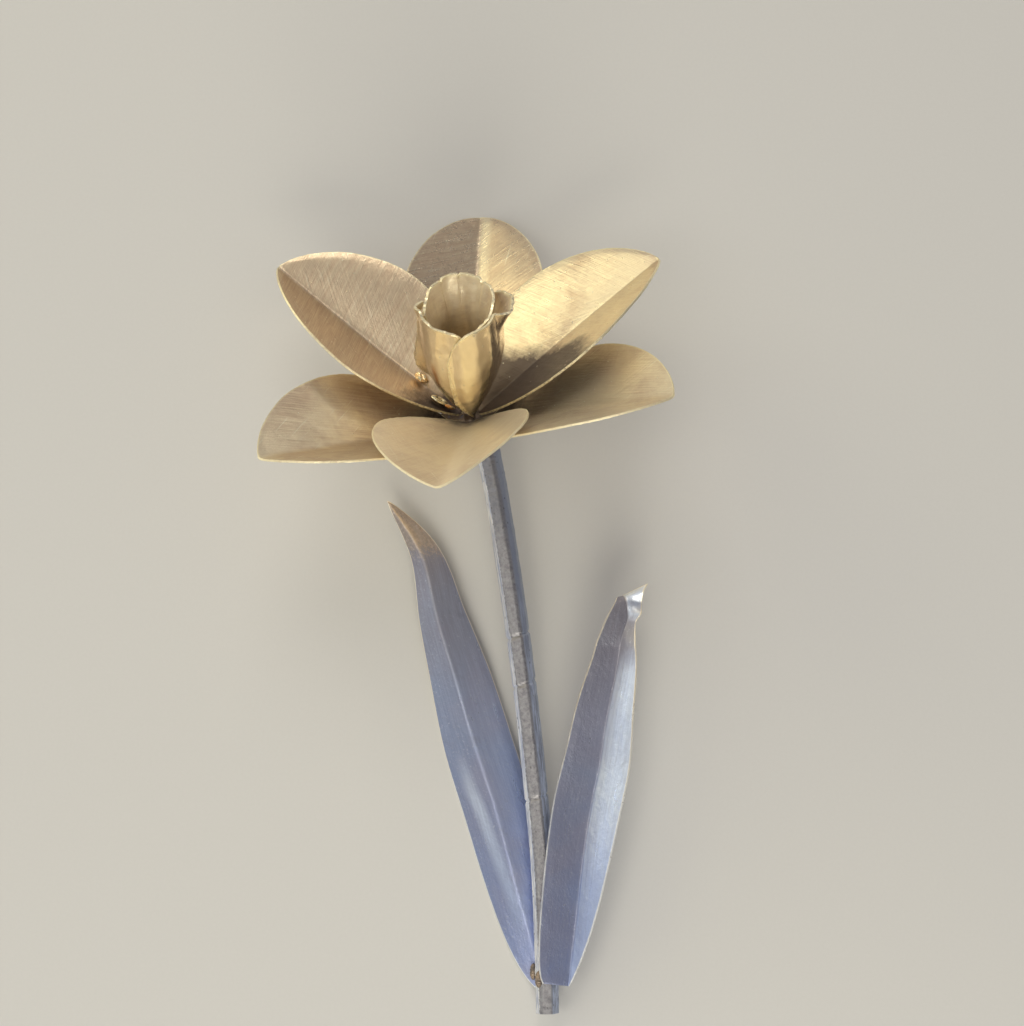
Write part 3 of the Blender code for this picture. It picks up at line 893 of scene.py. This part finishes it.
def hand_over(thing, material, replaced):
    """Gives a finished piece its material, and puts it in the place of its CAD node, inside the CAD box."""
    low, high = CAD_BOX
    for vertex in thing.data.vertices:
        vertex.co = [min(max(c, a), b) for c, a, b in zip(vertex.co, low, high)]
    thing.data.materials.clear()
    thing.data.materials.append(material)
    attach(thing, BODY)
    if replaced:
        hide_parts(replaced)


def cut_blank(name, columns, rows, point_at):
    """A grid shaped to a sheet's middle.

    point_at gives, for a place along and a share across, the point, the place on the flat blank and the
    distance to the cut edge.
    """
    deselect()
    bpy.ops.mesh.primitive_grid_add(x_subdivisions=columns, y_subdivisions=rows, size=1.0)
    thing = named(name)
    mesh = thing.data
    edge = mesh.attributes.new(EDGE_NAME, "FLOAT", "POINT")
    flat = []
    for i, vertex in enumerate(mesh.vertices):
        share = 2.0 * vertex.co.x
        place = vertex.co.y + 0.5
        point, blank, margin = point_at(place, share)
        edge.data[i].value = margin
        flat.append(blank)
        vertex.co = point
    layer = mesh.uv_layers[0]
    layer.name = UV_NAME
    for loop in mesh.loops:
        layer.data[loop.index].uv = flat[loop.vertex_index]
    clean_up(thing)
    return thing


def make_sheet(thing, thinned=EDGE_THINNED, battered=1.0):
    """Gives a blank its thickness, thins and rounds its cut edges and raises small burrs on them."""
    sizes = bpy.context.scene.daffodil_sheet
    whole = thing.vertex_groups.new(name="whole")
    for i, margin in enumerate(thing.data.attributes[EDGE_NAME].data):
        whole.add([i], ramp(margin.value, 0.0, THINNED_REACH), "REPLACE")
    solid = thing.modifiers.new("thickness", "SOLIDIFY")
    solid.thickness = sizes.thickness
    solid.vertex_group = whole.name
    solid.thickness_vertex_group = thinned
    solid.offset = 0.0
    rounding = thing.modifiers.new("rounding", "BEVEL")
    rounding.width = sizes.edge_round
    rounding.segments = 2
    rounding.limit_method = "ANGLE"
    rounding.angle_limit = ROUNDED_ANGLE
    apply_modifiers(thing)
    edge = thing.data.attributes[EDGE_NAME]
    normals = [n.vector.copy() for n in thing.data.vertex_normals]
    for i, vertex in enumerate(thing.data.vertices):
        if edge.data[i].value < sizes.edge_round:
            rough = wander(vertex.co, 0.9 * MM) + 0.6 * wander(vertex.co, 0.4 * MM, 3.0)
            vertex.co += normals[i] * sizes.burrs * battered * rough
    smooth(thing, 38.0)


def petal_frame(petal, place):
    """Crease point of a petal, with the directions across it and out of it, all in the flower's frame."""
    length = bpy.context.scene.daffodil_sheet.petal_length
    turn, rise, roll, _, curl = (math.radians(v) for v in petal["pose"])
    outward = Vector((math.cos(turn), math.sin(turn), 0.0))
    around = Vector((-math.sin(turn), math.cos(turn), 0.0))
    axis = Vector((0.0, 0.0, 1.0))
    start = rise - curl / 2.0
    slope = start + curl * place
    radius = petal["layer"][0] * MM + (math.sin(slope) - math.sin(start)) * length / curl
    height = petal["layer"][1] * MM - (math.cos(slope) - math.cos(start)) * length / curl
    normal = axis * math.cos(slope) - outward * math.sin(slope)
    across = around * math.cos(roll) + normal * math.sin(roll)
    out = normal * math.cos(roll) - around * math.sin(roll)
    return outward * radius + axis * height, across, out


def petal_half(place, seed):
    """Half width of the hand-cut blank at a place along it."""
    sizes = bpy.context.scene.daffodil_sheet
    trim = 1.0 + PETAL_TRIM * wander((place * 0.05, seed, 0.0), 0.007)
    return sizes.petal_width / 2.0 * swell(place, 0.5, *PETAL_SWELLS) * trim


def petal_point(petal, place, share, seed=0.0, dents=0.0):
    """Point on a petal's sheet: place along its crease, and share of its half width across it."""
    crease, across, out = petal_frame(petal, place)
    half = petal_half(place, seed + (3.0 if share < 0.0 else 0.0))
    fold = math.radians(petal["pose"][3])
    sideways, upward = fold_across(half * share, fold, petal["crease"] * MM)
    sag = petal["bows"][0 if share < 0.0 else 1] * MM * half / PETAL_FULL_HALF
    upward -= 4.0 * sag * abs(share) * (1.0 - abs(share))
    point = crease + across * sideways + out * upward
    worked = ramp(place, 0.1, 0.35)
    strayed = wander(point, 17.0 * MM, seed) + 0.4 * wander(point, 7.0 * MM, seed)
    return point + out * dents * worked * strayed


def make_petal(name, seed):
    """Cuts one petal from its blank, folds it and turns it to its place in the flower."""
    petal = PETALS[name]
    sizes = bpy.context.scene.daffodil_sheet

    # Rows lie closer together towards the tip, and columns towards the crease
    def point_at(along, across):
        place = 1.0 - (1.0 - PETAL_ROOT) * (1.0 - along) ** 1.35
        share = math.copysign(abs(across) ** 1.15, across)
        half = petal_half(place, seed)
        point = petal_point(petal, place, share, seed, sizes.dents)
        margin = min(half * (1.0 - abs(share)), (1.0 - place) * sizes.petal_length * 0.8)
        return point, (half * share, sizes.petal_length * place), margin

    thing = cut_blank(name, PETAL_COLUMNS, PETAL_ROWS, point_at)
    make_sheet(thing)
    thing.data.transform(flower_matrix())
    if name == RESTING_PETAL:
        grind_flat(thing)
    thing.name = name + "_sheet"
    return thing


def grind_flat(thing):
    """Grinds off what lies under the floor, which leaves a small flat spot at the petal's tip."""
    edit_all(thing)
    bpy.ops.mesh.bisect(plane_co=(0.0, 0.0, 0.0), plane_no=(0.0, 0.0, 1.0), use_fill=True, clear_inner=True)
    bpy.ops.object.mode_set(mode="OBJECT")


class DAFFODIL_OT_petals(Operator):
    """Cuts, folds and rounds the petals"""

    bl_idname = "daffodil.petals"
    bl_label = "Petals"

    def execute(self, context):
        for seed, (name, petal) in enumerate(PETALS.items()):
            thing = make_petal(name, seed)
            extras = {key: petal[key] for key in ("pale", "band") if key in petal}
            material = brass_sheet(name + "_brass", petal["grain"], petal["finish"], **extras)
            hand_over(thing, material, name)
        return {"FINISHED"}


def cup_profile(height):
    """Radius of the cup's wall at a height above its foot."""
    angle = math.pi / 2.0 * (height + CUP_FOOT_LEAD) / CUP_BELLY
    wall = math.sin(min(angle, math.pi / 2.0)) ** 0.9
    pinch = 0.05 * max(0.0, height / CUP_BELLY - 1.0)
    return bpy.context.scene.daffodil_sheet.cup_radius * (wall - pinch)


def lip_share(name, share):
    """How far the right lobe's rim is turned out into a lip, from 0 to 1."""
    if name != "trumpet_right":
        return 0.0
    return ramp(share, LIP_START, LIP_FULL) * (1.0 - 0.85 * ramp(share, 0.62, 1.0))


def lobe_angle(name, up, share):
    """Angle round the flower, in degrees, of a place on a lobe."""
    lobe = LOBES[name]
    narrowed = max(0.0, 1.0 - up / LOBE_FULL_WRAP) ** 2
    chipped = wander((up * 0.04, lobe["foot"] * MM, 0.0), 1.3 * MM)
    chipped *= ramp(abs(share), 0.9, 1.0) * (1.0 - ramp(up, 0.4, 0.7))
    width = 1.0 - (1.0 - LOBE_FOOT_SHARE) * narrowed + LOBE_CHIPS * chipped
    flange = ramp(-share, FLANGE_START, 1.0) if name == "trumpet_left" else 0.0
    return lobe["middle"] + lobe["wrap"] * width * share - FLANGE_CORNER * flange * ramp(up, 0.8, 1.0)


def tear_depth(name, degrees):
    """Depth of the tears in the back lobe's rim at an angle round the flower."""
    if name != "trumpet_back":
        return 0.0
    return sum(d * MM * math.exp(-(((degrees - turn) / spread) ** 2)) for turn, spread, d in RIM_TEARS)


def rim_height(name, degrees, share):
    """Height of a lobe's rim above the cup's foot, with its tears and ripples."""
    sizes = bpy.context.scene.daffodil_sheet
    drop = LOBES[name]["drops"][0 if share < 0.0 else 1]
    rim = sizes.cup_height * (1.0 - drop * abs(share) ** 6)
    rim += CUP_BACK_RISE * math.sin(math.radians(degrees)) - LIP_DROP * lip_share(name, share)
    around = math.radians(degrees) * sizes.cup_radius
    ripple = wander((around, 0.0, LOBES[name]["foot"] * MM * 9.0), FACET_WIDTH) * RIM_RIPPLE
    return rim + ripple - tear_depth(name, degrees)


def flange_reach(up):
    """How far the left lobe's free edge stands off the cup, at a share of the way from foot to rim."""
    foot, corner, rim = FLANGE_LEVELS
    low, high = FLANGE_REACH
    return ramp(up, foot, corner) * (low + (high - low) * ramp(up, corner, rim))


def lobe_point(name, up, share):
    """Point on the middle of a lobe's sheet: up from foot to rim, and share of its wrap from its middle."""
    nest = LOBES[name]["nest"]
    foot = LOBES[name]["foot"] * MM
    degrees = lobe_angle(name, up, share)
    angle = math.radians(degrees)
    rim = rim_height(name, degrees, share)
    height = foot + (rim - foot) * up
    step = 0.02 * MM
    slope = (cup_profile(height + step) - cup_profile(height)) / step
    lean = math.hypot(1.0, slope)
    offset = LOBE_STEP * (nest[0] + (nest[1] - nest[0]) * ramp(share, -0.8, 0.2))
    flare = max(0.0, (up - LIP_FOOT) / (1.0 - LIP_FOOT)) ** 1.5
    lip = lip_share(name, share)
    turned_out = LIP_REACH * lip * flare
    if name == "trumpet_back":
        turned_out -= BACK_WAIST * ramp(up, 0.25, 0.62) * (1.0 - ramp(up, 0.66, 1.02))
    if name == "trumpet_right":
        turned_out += LAP_CURL * ramp(-share, 0.90, 1.0)
    if name == "trumpet_left":
        turned_out += ramp(-share, FLANGE_START, 1.0) * flange_reach(up)
        curl = ramp(up, 0.86, 1.0)
        turned_out += curl * FLANGE_CURL * (ramp(-share, 0.66, 0.86) - 2.3 * ramp(-share, 0.86, 1.0))
    around = angle * bpy.context.scene.daffodil_sheet.cup_radius
    pleat = wander((around * 1.6, 0.4 * height, 0.0), 1.5 * MM, 5.0) * 2.0 * LIP_PLEAT * lip * flare
    facets = wander((around, height * 0.16, foot * 7.0), FACET_WIDTH) * LOBE_FACETS * ramp(up, 0.05, 0.3)
    hammered = wander((around, height, foot * 3.0), 2.2 * MM) * LOBE_HAMMERING
    burr = RIM_BURR * min(1.0, tear_depth(name, degrees) / (0.7 * MM)) * ramp(up, 0.965, 1.0)
    reach = cup_profile(height) + offset / lean + turned_out + pleat + facets + hammered - burr
    along = height - offset * slope / lean + 0.6 * pleat
    return Vector((math.cos(angle) * reach + CUP_LEAN * along, math.sin(angle) * reach, CUP_FOOT + along))


def make_lobe(name):
    """Rolls one lobe from its blank."""
    radius = bpy.context.scene.daffodil_sheet.cup_radius
    wrap = math.radians(LOBES[name]["wrap"])

    def point_at(along, share):
        up = along ** 1.05
        point = lobe_point(name, up, share)
        rim = rim_height(name, lobe_angle(name, up, share), share)
        reach = math.hypot(point.x, point.y)
        margin = min((1.0 - up) * rim, (1.0 - abs(share)) * reach * wrap)
        return point, (radius * wrap * share, rim * up), margin

    thing = cut_blank(name, LOBES[name]["columns"], LOBE_ROWS, point_at)
    make_sheet(thing, LOBE_EDGE_THINNED, LOBE_BATTERED)
    inside = thing.data.attributes.new(INSIDE_NAME, "FLOAT", "POINT")
    for i, (vertex, normal) in enumerate(zip(thing.data.vertices, thing.data.vertex_normals)):
        outwards = vertex.co.x * normal.vector.x + vertex.co.y * normal.vector.y
        inside.data[i].value = 1.0 if outwards < 0.0 else 0.0
    thing.data.transform(flower_matrix())
    thing.name = name + "_lobe"
    return thing


class DAFFODIL_OT_trumpet(Operator):
    """Rolls the lobes of the trumpet and nests them"""

    bl_idname = "daffodil.trumpet"
    bl_label = "Trumpet"

    def execute(self, context):
        for name, lobe in LOBES.items():
            thing = make_lobe(name)
            marks = (lobe["band"], lobe.get("stained"))
            material = brass_sheet(
                name + "_brass", lobe["grain"], LOBE_FINISH, LOBE_BRIGHT_RIM, LOBE_PAINTED_PALE, *marks
            )
            hand_over(thing, material, name)
        return {"FINISHED"}


def along_route(route, place):
    """Point and direction on a route that is given in millimetres."""
    points = [Vector(p) * MM for p in route]
    here = through(points, place)
    ahead = through(points, min(place + 0.01, 1.0))
    behind = through(points, max(place - 0.01, 0.0))
    return here, (ahead - behind).normalized()


def leaf_point(leaf, place, share, seed=0.0):
    """Point on a leaf's sheet, with its half width there: place along its crease, and share across it."""
    sizes = bpy.context.scene.daffodil_sheet
    here, ahead = along_route(leaf["route"], place)
    across = ahead.cross(Vector((0.0, 0.0, 1.0))).normalized()
    out = across.cross(ahead)
    roll = math.radians(through(leaf["roll"], place))
    fold = math.radians(through(leaf["fold"], place))
    side = 0 if share < 0.0 else 1
    half = leaf["widths"][side] * MM * swell(place, leaf["peaks"][side], *leaf["swells"][side])
    sideways, upward = fold_across(half * share, fold, LEAF_CREASE * MM)
    rolled_across = across * math.cos(roll) + out * math.sin(roll)
    rolled_out = out * math.cos(roll) - across * math.sin(roll)
    point = here + rolled_across * sideways + rolled_out * upward
    ripple = ramp(place, 0.15, 0.35) * (1.0 - 0.6 * ramp(place, 0.8, 1.0))
    return point + rolled_out * 0.6 * sizes.dents * ripple * wander(point, 16.0 * MM, seed), half


def leaf_end_point(place, share):
    """Point on the right leaf's bent end, where rows of three set points take over from the plain blade."""
    row = (place - LEAF_END_START) / (1.0 - LEAF_END_START)
    left, crease, right = (through([Vector(points[i]) * MM for points in LEAF_END], row) for i in range(3))
    edge = left if share < 0.0 else right
    rounded = (math.hypot(share, 0.06) - 0.06) / (math.hypot(1.0, 0.06) - 0.06)
    return crease.lerp(edge, rounded)


def make_leaf(name, seed):
    """Cuts one leaf and folds it along its crease."""
    leaf = LEAVES[name]
    route = [Vector(point) for point in leaf["route"]]
    length = sum((b - a).length for a, b in zip(route, route[1:])) * MM

    def point_at(along, across):
        place = 1.0 - (1.0 - LEAF_ROOT) * (1.0 - along) ** 1.15
        share = math.copysign(abs(across) ** 1.1, across)
        point, half = leaf_point(leaf, place, share, seed)
        if name == "leaf_right":
            bent = ramp(place, LEAF_END_START - 0.02, LEAF_END_START + 0.08)
            if bent > 0.0:
                point = point.lerp(leaf_end_point(place, share), bent)
                half += bent * (LEAF_END_HALF - half)
        margin = min(half * (1.0 - abs(share)), (1.0 - place) * length * 0.8)
        return point, (half * share, length * place), margin

    thing = cut_blank(name, LEAF_COLUMNS, LEAF_ROWS, point_at)
    make_sheet(thing)
    thing.name = name + "_blade"
    return thing


class DAFFODIL_OT_leaves(Operator):
    """Cuts and folds the steel leaves"""

    bl_idname = "daffodil.leaves"
    bl_label = "Leaves"

    def execute(self, context):
        for seed, name in enumerate(LEAVES):
            thing = make_leaf(name, seed + 11.0)
            hand_over(thing, steel_sheet(name), name)
        return {"FINISHED"}


def stem_ring(place):
    """Centre of the bar at a place along it, with its sideways, upward and forward directions."""
    here, ahead = along_route(STEM_ROUTE, place)
    side = ahead.cross(Vector((0.0, 0.0, 1.0))).normalized()
    return here, side, side.cross(ahead), ahead


def make_stem():
    """A bar of eight facets, turned a little along its length and nicked across."""
    sizes = bpy.context.scene.daffodil_stem
    sector = 2.0 * math.pi / STEM_SIDES
    axis = flower_matrix().col[2].to_3d()
    plane = FLOWER_CENTRE + axis * (NECK_RINGS[0][0] - 0.3) * MM

    def point_at(place, share):
        angle = math.pi * share
        here, side, over, ahead = stem_ring(place)
        in_facet = (angle % sector) - sector / 2.0
        radius = min(sizes.width / 2.0 / math.cos(in_facet), sizes.width / 2.0 * 1.060)
        turned = angle + sector / 2.0 + STEM_TWIST * place
        around = turned * sizes.width / 2.0
        up = place * STEM_LENGTH
        worn = wander((math.cos(turned) * 3.0 * MM, math.sin(turned) * 3.0 * MM, up), 2.2 * MM)
        radius += sizes.hammering * (worn - 0.4)
        for spot, width in STEM_NICKS:
            away = (up - spot * MM + 0.15 * around) / (width * MM)
            radius -= sizes.notch_depth * math.exp(-away * away)
        point = here + (side * math.cos(turned) + over * math.sin(turned)) * radius
        if place > 0.999:
            point += ahead * ((plane - point).dot(axis) / ahead.dot(axis))
        return point, (around, up), 1.0

    thing = cut_blank("stem_bar", STEM_SIDES * 10, STEM_ROWS, point_at)
    close_ends(thing)
    mesh = thing.data
    ground = mesh.attributes.new("ground", "FLOAT", "POINT")
    blued = mesh.attributes.new("blued", "FLOAT", "POINT")
    low = Vector(STEM_ROUTE[0]).y * MM
    for i, vertex in enumerate(mesh.vertices):
        place = min(max((vertex.co.y - low) / STEM_REACH, 0.0), 1.0)
        here, side, over, ahead = stem_ring(place)
        out = vertex.co - here
        shown = math.degrees(math.atan2(out.dot(over), out.dot(side)))
        # The bar's sides are marked by the way they face: up and left for its painted highlight, right for
        # its painted cool blue reflection
        ground.data[i].value = ramp(shown, 126.0, 142.0)
        blued.data[i].value = 1.0 - ramp(shown, 60.0, 74.0)
    smooth(thing, 24.0)
    return thing


class DAFFODIL_OT_stem(Operator):
    """Grinds and nicks the bar of the stem"""

    bl_idname = "daffodil.stem"
    bl_label = "Stem"

    def execute(self, context):
        hand_over(make_stem(), bar_steel("stem_steel"), "stem")
        return {"FINISHED"}


def close_ends(thing):
    """Caps the two open ends of a rolled blank."""
    edit_all(thing)
    bpy.ops.mesh.fill_holes(sides=0)
    bpy.ops.mesh.normals_make_consistent(inside=False)
    bpy.ops.object.mode_set(mode="OBJECT")


def make_neck():
    """The weld under the petals: a turned form with overlapping beads over its lower part."""
    rings = [Vector(ring) for ring in NECK_RINGS]
    last = len(rings) - 1

    def point_at(along, share):
        at = along * last
        low = min(int(at), last - 1)
        ring = rings[low].lerp(rings[low + 1], at - low)
        angle = math.pi * share
        scallops = abs(math.sin(6.0 * angle + 1.3 * ring.x)) - 0.6
        beads = 0.30 * scallops * (1.0 - ramp(at, 1.2, 2.0)) * ramp(at, 0.0, 0.3)
        radius = ring.y + beads
        point = Vector((radius * math.cos(angle) + ring.z, radius * math.sin(angle), ring.x)) * MM
        return point, (ring.y * angle * MM, at * MM), 1.0

    thing = cut_blank("neck_weld_beads", 110, 64, point_at)
    close_ends(thing)
    thing.data.transform(flower_matrix())
    smooth(thing, 50.0)
    return thing


def make_bead(name, matrix, half_size, ripples):
    """A weld bead with ripples across it, where the pool set step by step."""
    deselect()
    bpy.ops.mesh.primitive_uv_sphere_add(segments=48, ring_count=96, radius=1.0)
    thing = named(name)
    size = Vector(half_size) * MM
    for vertex in thing.data.vertices:
        along = math.asin(max(-1.0, min(1.0, vertex.co.z))) / (math.pi / 2.0)
        lift = 1.0 + 0.07 * math.sin(math.pi * ripples * (along + 0.12 * vertex.co.x ** 2))
        lift += 0.05 * wander(vertex.co * MM, 0.7 * MM, ripples)
        lift = min(lift, 1.06)
        vertex.co = Vector((vertex.co.x * size.x * lift, vertex.co.z * size.y, vertex.co.y * size.z * lift))
    thing.data.transform(matrix)
    clean_up(thing)
    smooth(thing, 60.0)
    return thing


class DAFFODIL_OT_welds(Operator):
    """Lays the weld beads at the neck and at the leaves"""

    bl_idname = "daffodil.welds"
    bl_label = "Welds"

    def execute(self, context):
        hand_over(make_neck(), weld_metal("neck_metal"), "neck_weld")
        ripples = context.scene.daffodil_stem.bead_ripples
        for name, (place, half_size) in LEAF_BEADS.items():
            matrix = Matrix.Translation(Vector(place) * MM)
            bead = make_bead(name + "_bead", matrix, half_size, ripples)
            hand_over(bead, weld_metal(name + "_metal"), name)
        return {"FINISHED"}


def on_petal(place, share, half_size):
    """Where a drop sits on the upper left petal: along it, across it and out of it."""
    petal = PETALS["petal_upper_left"]
    spot = petal_point(petal, place, share)
    along = (petal_point(petal, place + 0.01, share) - spot).normalized()
    across = (petal_point(petal, place, share + 0.05) - spot).normalized()
    out = along.cross(across).normalized()
    if out.z < 0.0:
        out = -out
    lift = bpy.context.scene.daffodil_sheet.thickness / 2.0 + BRAZE_SEAT + half_size[2] * MM
    turned = Matrix((along, out.cross(along), out)).transposed().to_4x4()
    return flower_matrix() @ Matrix.Translation(spot + out * lift) @ turned


def make_drop(name, seat, lumps):
    """A drop of braze that set lumpy on the upper left petal."""
    place, share, half_size = seat
    deselect()
    bpy.ops.mesh.primitive_uv_sphere_add(segments=64, ring_count=40, radius=1.0)
    drop = named(name)
    for vertex in drop.data.vertices:
        lump = wander(vertex.co * MM, 0.8 * MM, 4.0) + 0.4 * wander(vertex.co * MM, 0.35 * MM, 6.0)
        wave = 1.0 + lumps * lump
        vertex.co = Vector([c * s * min(wave, 1.12) * MM for c, s in zip(vertex.co, half_size)])
    drop.data.transform(on_petal(place, share, half_size))
    bpy.ops.object.shade_smooth()
    return drop


class DAFFODIL_OT_braze(Operator):
    """Drops the braze at the trumpet's foot"""

    bl_idname = "daffodil.braze"
    bl_label = "Braze"

    def execute(self, context):
        place, share, half_size = BRAZE_LOOP
        deselect()
        bpy.ops.mesh.primitive_torus_add(
            major_segments=72, minor_segments=24, major_radius=0.66, minor_radius=0.34
        )
        loop = named("braze_foot_loop")
        for vertex in loop.data.vertices:
            wave = 1.0 + 0.10 * wander(vertex.co * MM, 0.8 * MM)
            vertex.co = Vector((
                vertex.co.x * half_size[0] * wave,
                vertex.co.y * half_size[1] * wave,
                vertex.co.z / 0.34 * half_size[2] * 0.75 - 0.2,
            )) * MM
        loop.data.transform(on_petal(place, share, half_size))
        bpy.ops.object.shade_smooth()
        hand_over(loop, braze_metal("braze_bright", (0.80, 0.72, 0.50)), "braze_foot")
        copper = tuple(context.scene.daffodil_finish.copper)
        blob = make_drop("braze_left_blob", BRAZE_BLOB, 0.34)
        hand_over(blob, braze_metal("braze_gold", (0.92, 0.66, 0.36)), "braze_left")
        drop = make_drop("braze_copper_drop", BRAZE_DROP, 0.16)
        hand_over(drop, braze_metal("braze_copper", copper), None)
        return {"FINISHED"}


def light_room(context, stage):
    """Even light from all round, brighter on the left than on the right, where it is also cooler."""
    world = bpy.data.worlds.new("studio")
    context.scene.world = world
    world.use_nodes = True
    tree = world.node_tree
    sky = tree.nodes["Background"]
    towards = tree.nodes.new("ShaderNodeTexCoord").outputs["Generated"]
    split = tree.nodes.new("ShaderNodeSeparateXYZ")
    tree.links.new(towards, split.inputs["Vector"])
    across = tree.nodes.new("ShaderNodeMapRange")
    tree.links.new(split.outputs["X"], across.inputs["Value"])
    across.inputs["From Min"].default_value = -0.9
    across.inputs["From Max"].default_value = 0.7
    shade = tree.nodes.new("ShaderNodeMix")
    shade.data_type = "RGBA"
    tree.links.new(across.outputs["Result"], shade.inputs[0])
    shade.inputs[6].default_value = SKY_LEFT
    shade.inputs[7].default_value = SKY_RIGHT
    tree.links.new(shade.outputs[2], sky.inputs["Color"])
    sky.inputs["Strength"].default_value = stage.sky
    context.scene.view_settings.view_transform = "Standard"


def add_softbox(name, power):
    """Hangs one softbox and turns it to the flower."""
    place, size, colour = SOFTBOXES[name]
    bpy.ops.object.light_add(type="AREA", location=place)
    lamp = bpy.context.object
    lamp.name = name + "_softbox"
    lamp.rotation_euler = (LIGHT_AIM - Vector(place)).to_track_quat("-Z", "Y").to_euler()
    lamp.data.shape = "RECTANGLE"
    lamp.data.size, lamp.data.size_y = size
    lamp.data.energy = power
    lamp.data.color = colour


class DAFFODIL_OT_stage(Operator):
    """Sets the floor, the soft lights and the camera"""

    bl_idname = "daffodil.stage"
    bl_label = "Stage"

    def execute(self, context):
        stage = context.scene.daffodil_stage
        deselect()
        bpy.ops.mesh.primitive_plane_add(size=6.0, location=(0.0, 0.0, 0.0))
        floor = named("floor")
        floor.data.materials.append(plain_paint("floor_paint", stage.floor))
        light_room(context, stage)
        for name in SOFTBOXES:
            add_softbox(name, getattr(stage, name))
        back = Vector((0.0, -math.cos(CAMERA_ELEVATION), math.sin(CAMERA_ELEVATION)))
        bpy.ops.object.camera_add(location=CAMERA_TARGET + back * CAMERA_DISTANCE)
        camera = context.object
        camera.rotation_euler = (math.pi / 2.0 - CAMERA_ELEVATION, 0.0, 0.0)
        view_width = PHOTO_WIDTH * MM_PER_PIXEL * MM
        camera.data.sensor_width = CAMERA_SENSOR
        camera.data.lens = CAMERA_SENSOR * CAMERA_DISTANCE / view_width
        camera.data.clip_start = 0.01
        context.scene.camera = camera
        return {"FINISHED"}


class DAFFODIL_PT_panel(Panel):
    """Lists the daffodil's pieces and their sizes"""

    bl_label = "Daffodil"
    bl_idname = "DAFFODIL_PT_panel"
    bl_space_type = "VIEW_3D"
    bl_region_type = "UI"
    bl_category = "Daffodil"

    def draw(self, context):
        for name in GROUPS:
            group = getattr(context.scene, name)
            box = self.layout.box()
            for key in group.__annotations__:
                box.prop(group, key)
        for operator in OPERATORS:
            self.layout.operator(operator.bl_idname)


OPERATORS = (
    DAFFODIL_OT_petals,
    DAFFODIL_OT_trumpet,
    DAFFODIL_OT_stem,
    DAFFODIL_OT_leaves,
    DAFFODIL_OT_welds,
    DAFFODIL_OT_braze,
    DAFFODIL_OT_stage,
)
GROUPS = {
    "daffodil_sheet": DaffodilSheet,
    "daffodil_stem": DaffodilStem,
    "daffodil_finish": DaffodilFinish,
    "daffodil_stage": DaffodilStage,
}


def register():
    for name, group in GROUPS.items():
        bpy.utils.register_class(group)
        setattr(bpy.types.Scene, name, PointerProperty(type=group))
    for operator in OPERATORS:
        bpy.utils.register_class(operator)
    bpy.utils.register_class(DAFFODIL_PT_panel)


def unregister():
    bpy.utils.unregister_class(DAFFODIL_PT_panel)
    for operator in reversed(OPERATORS):
        bpy.utils.unregister_class(operator)
    for name, group in GROUPS.items():
        delattr(bpy.types.Scene, name)
        bpy.utils.unregister_class(group)


def main():
    register()
    for operator in OPERATORS:
        group, name = operator.bl_idname.split(".")
        getattr(getattr(bpy.ops, group), name)()


if __name__ == "__main__":
    main()
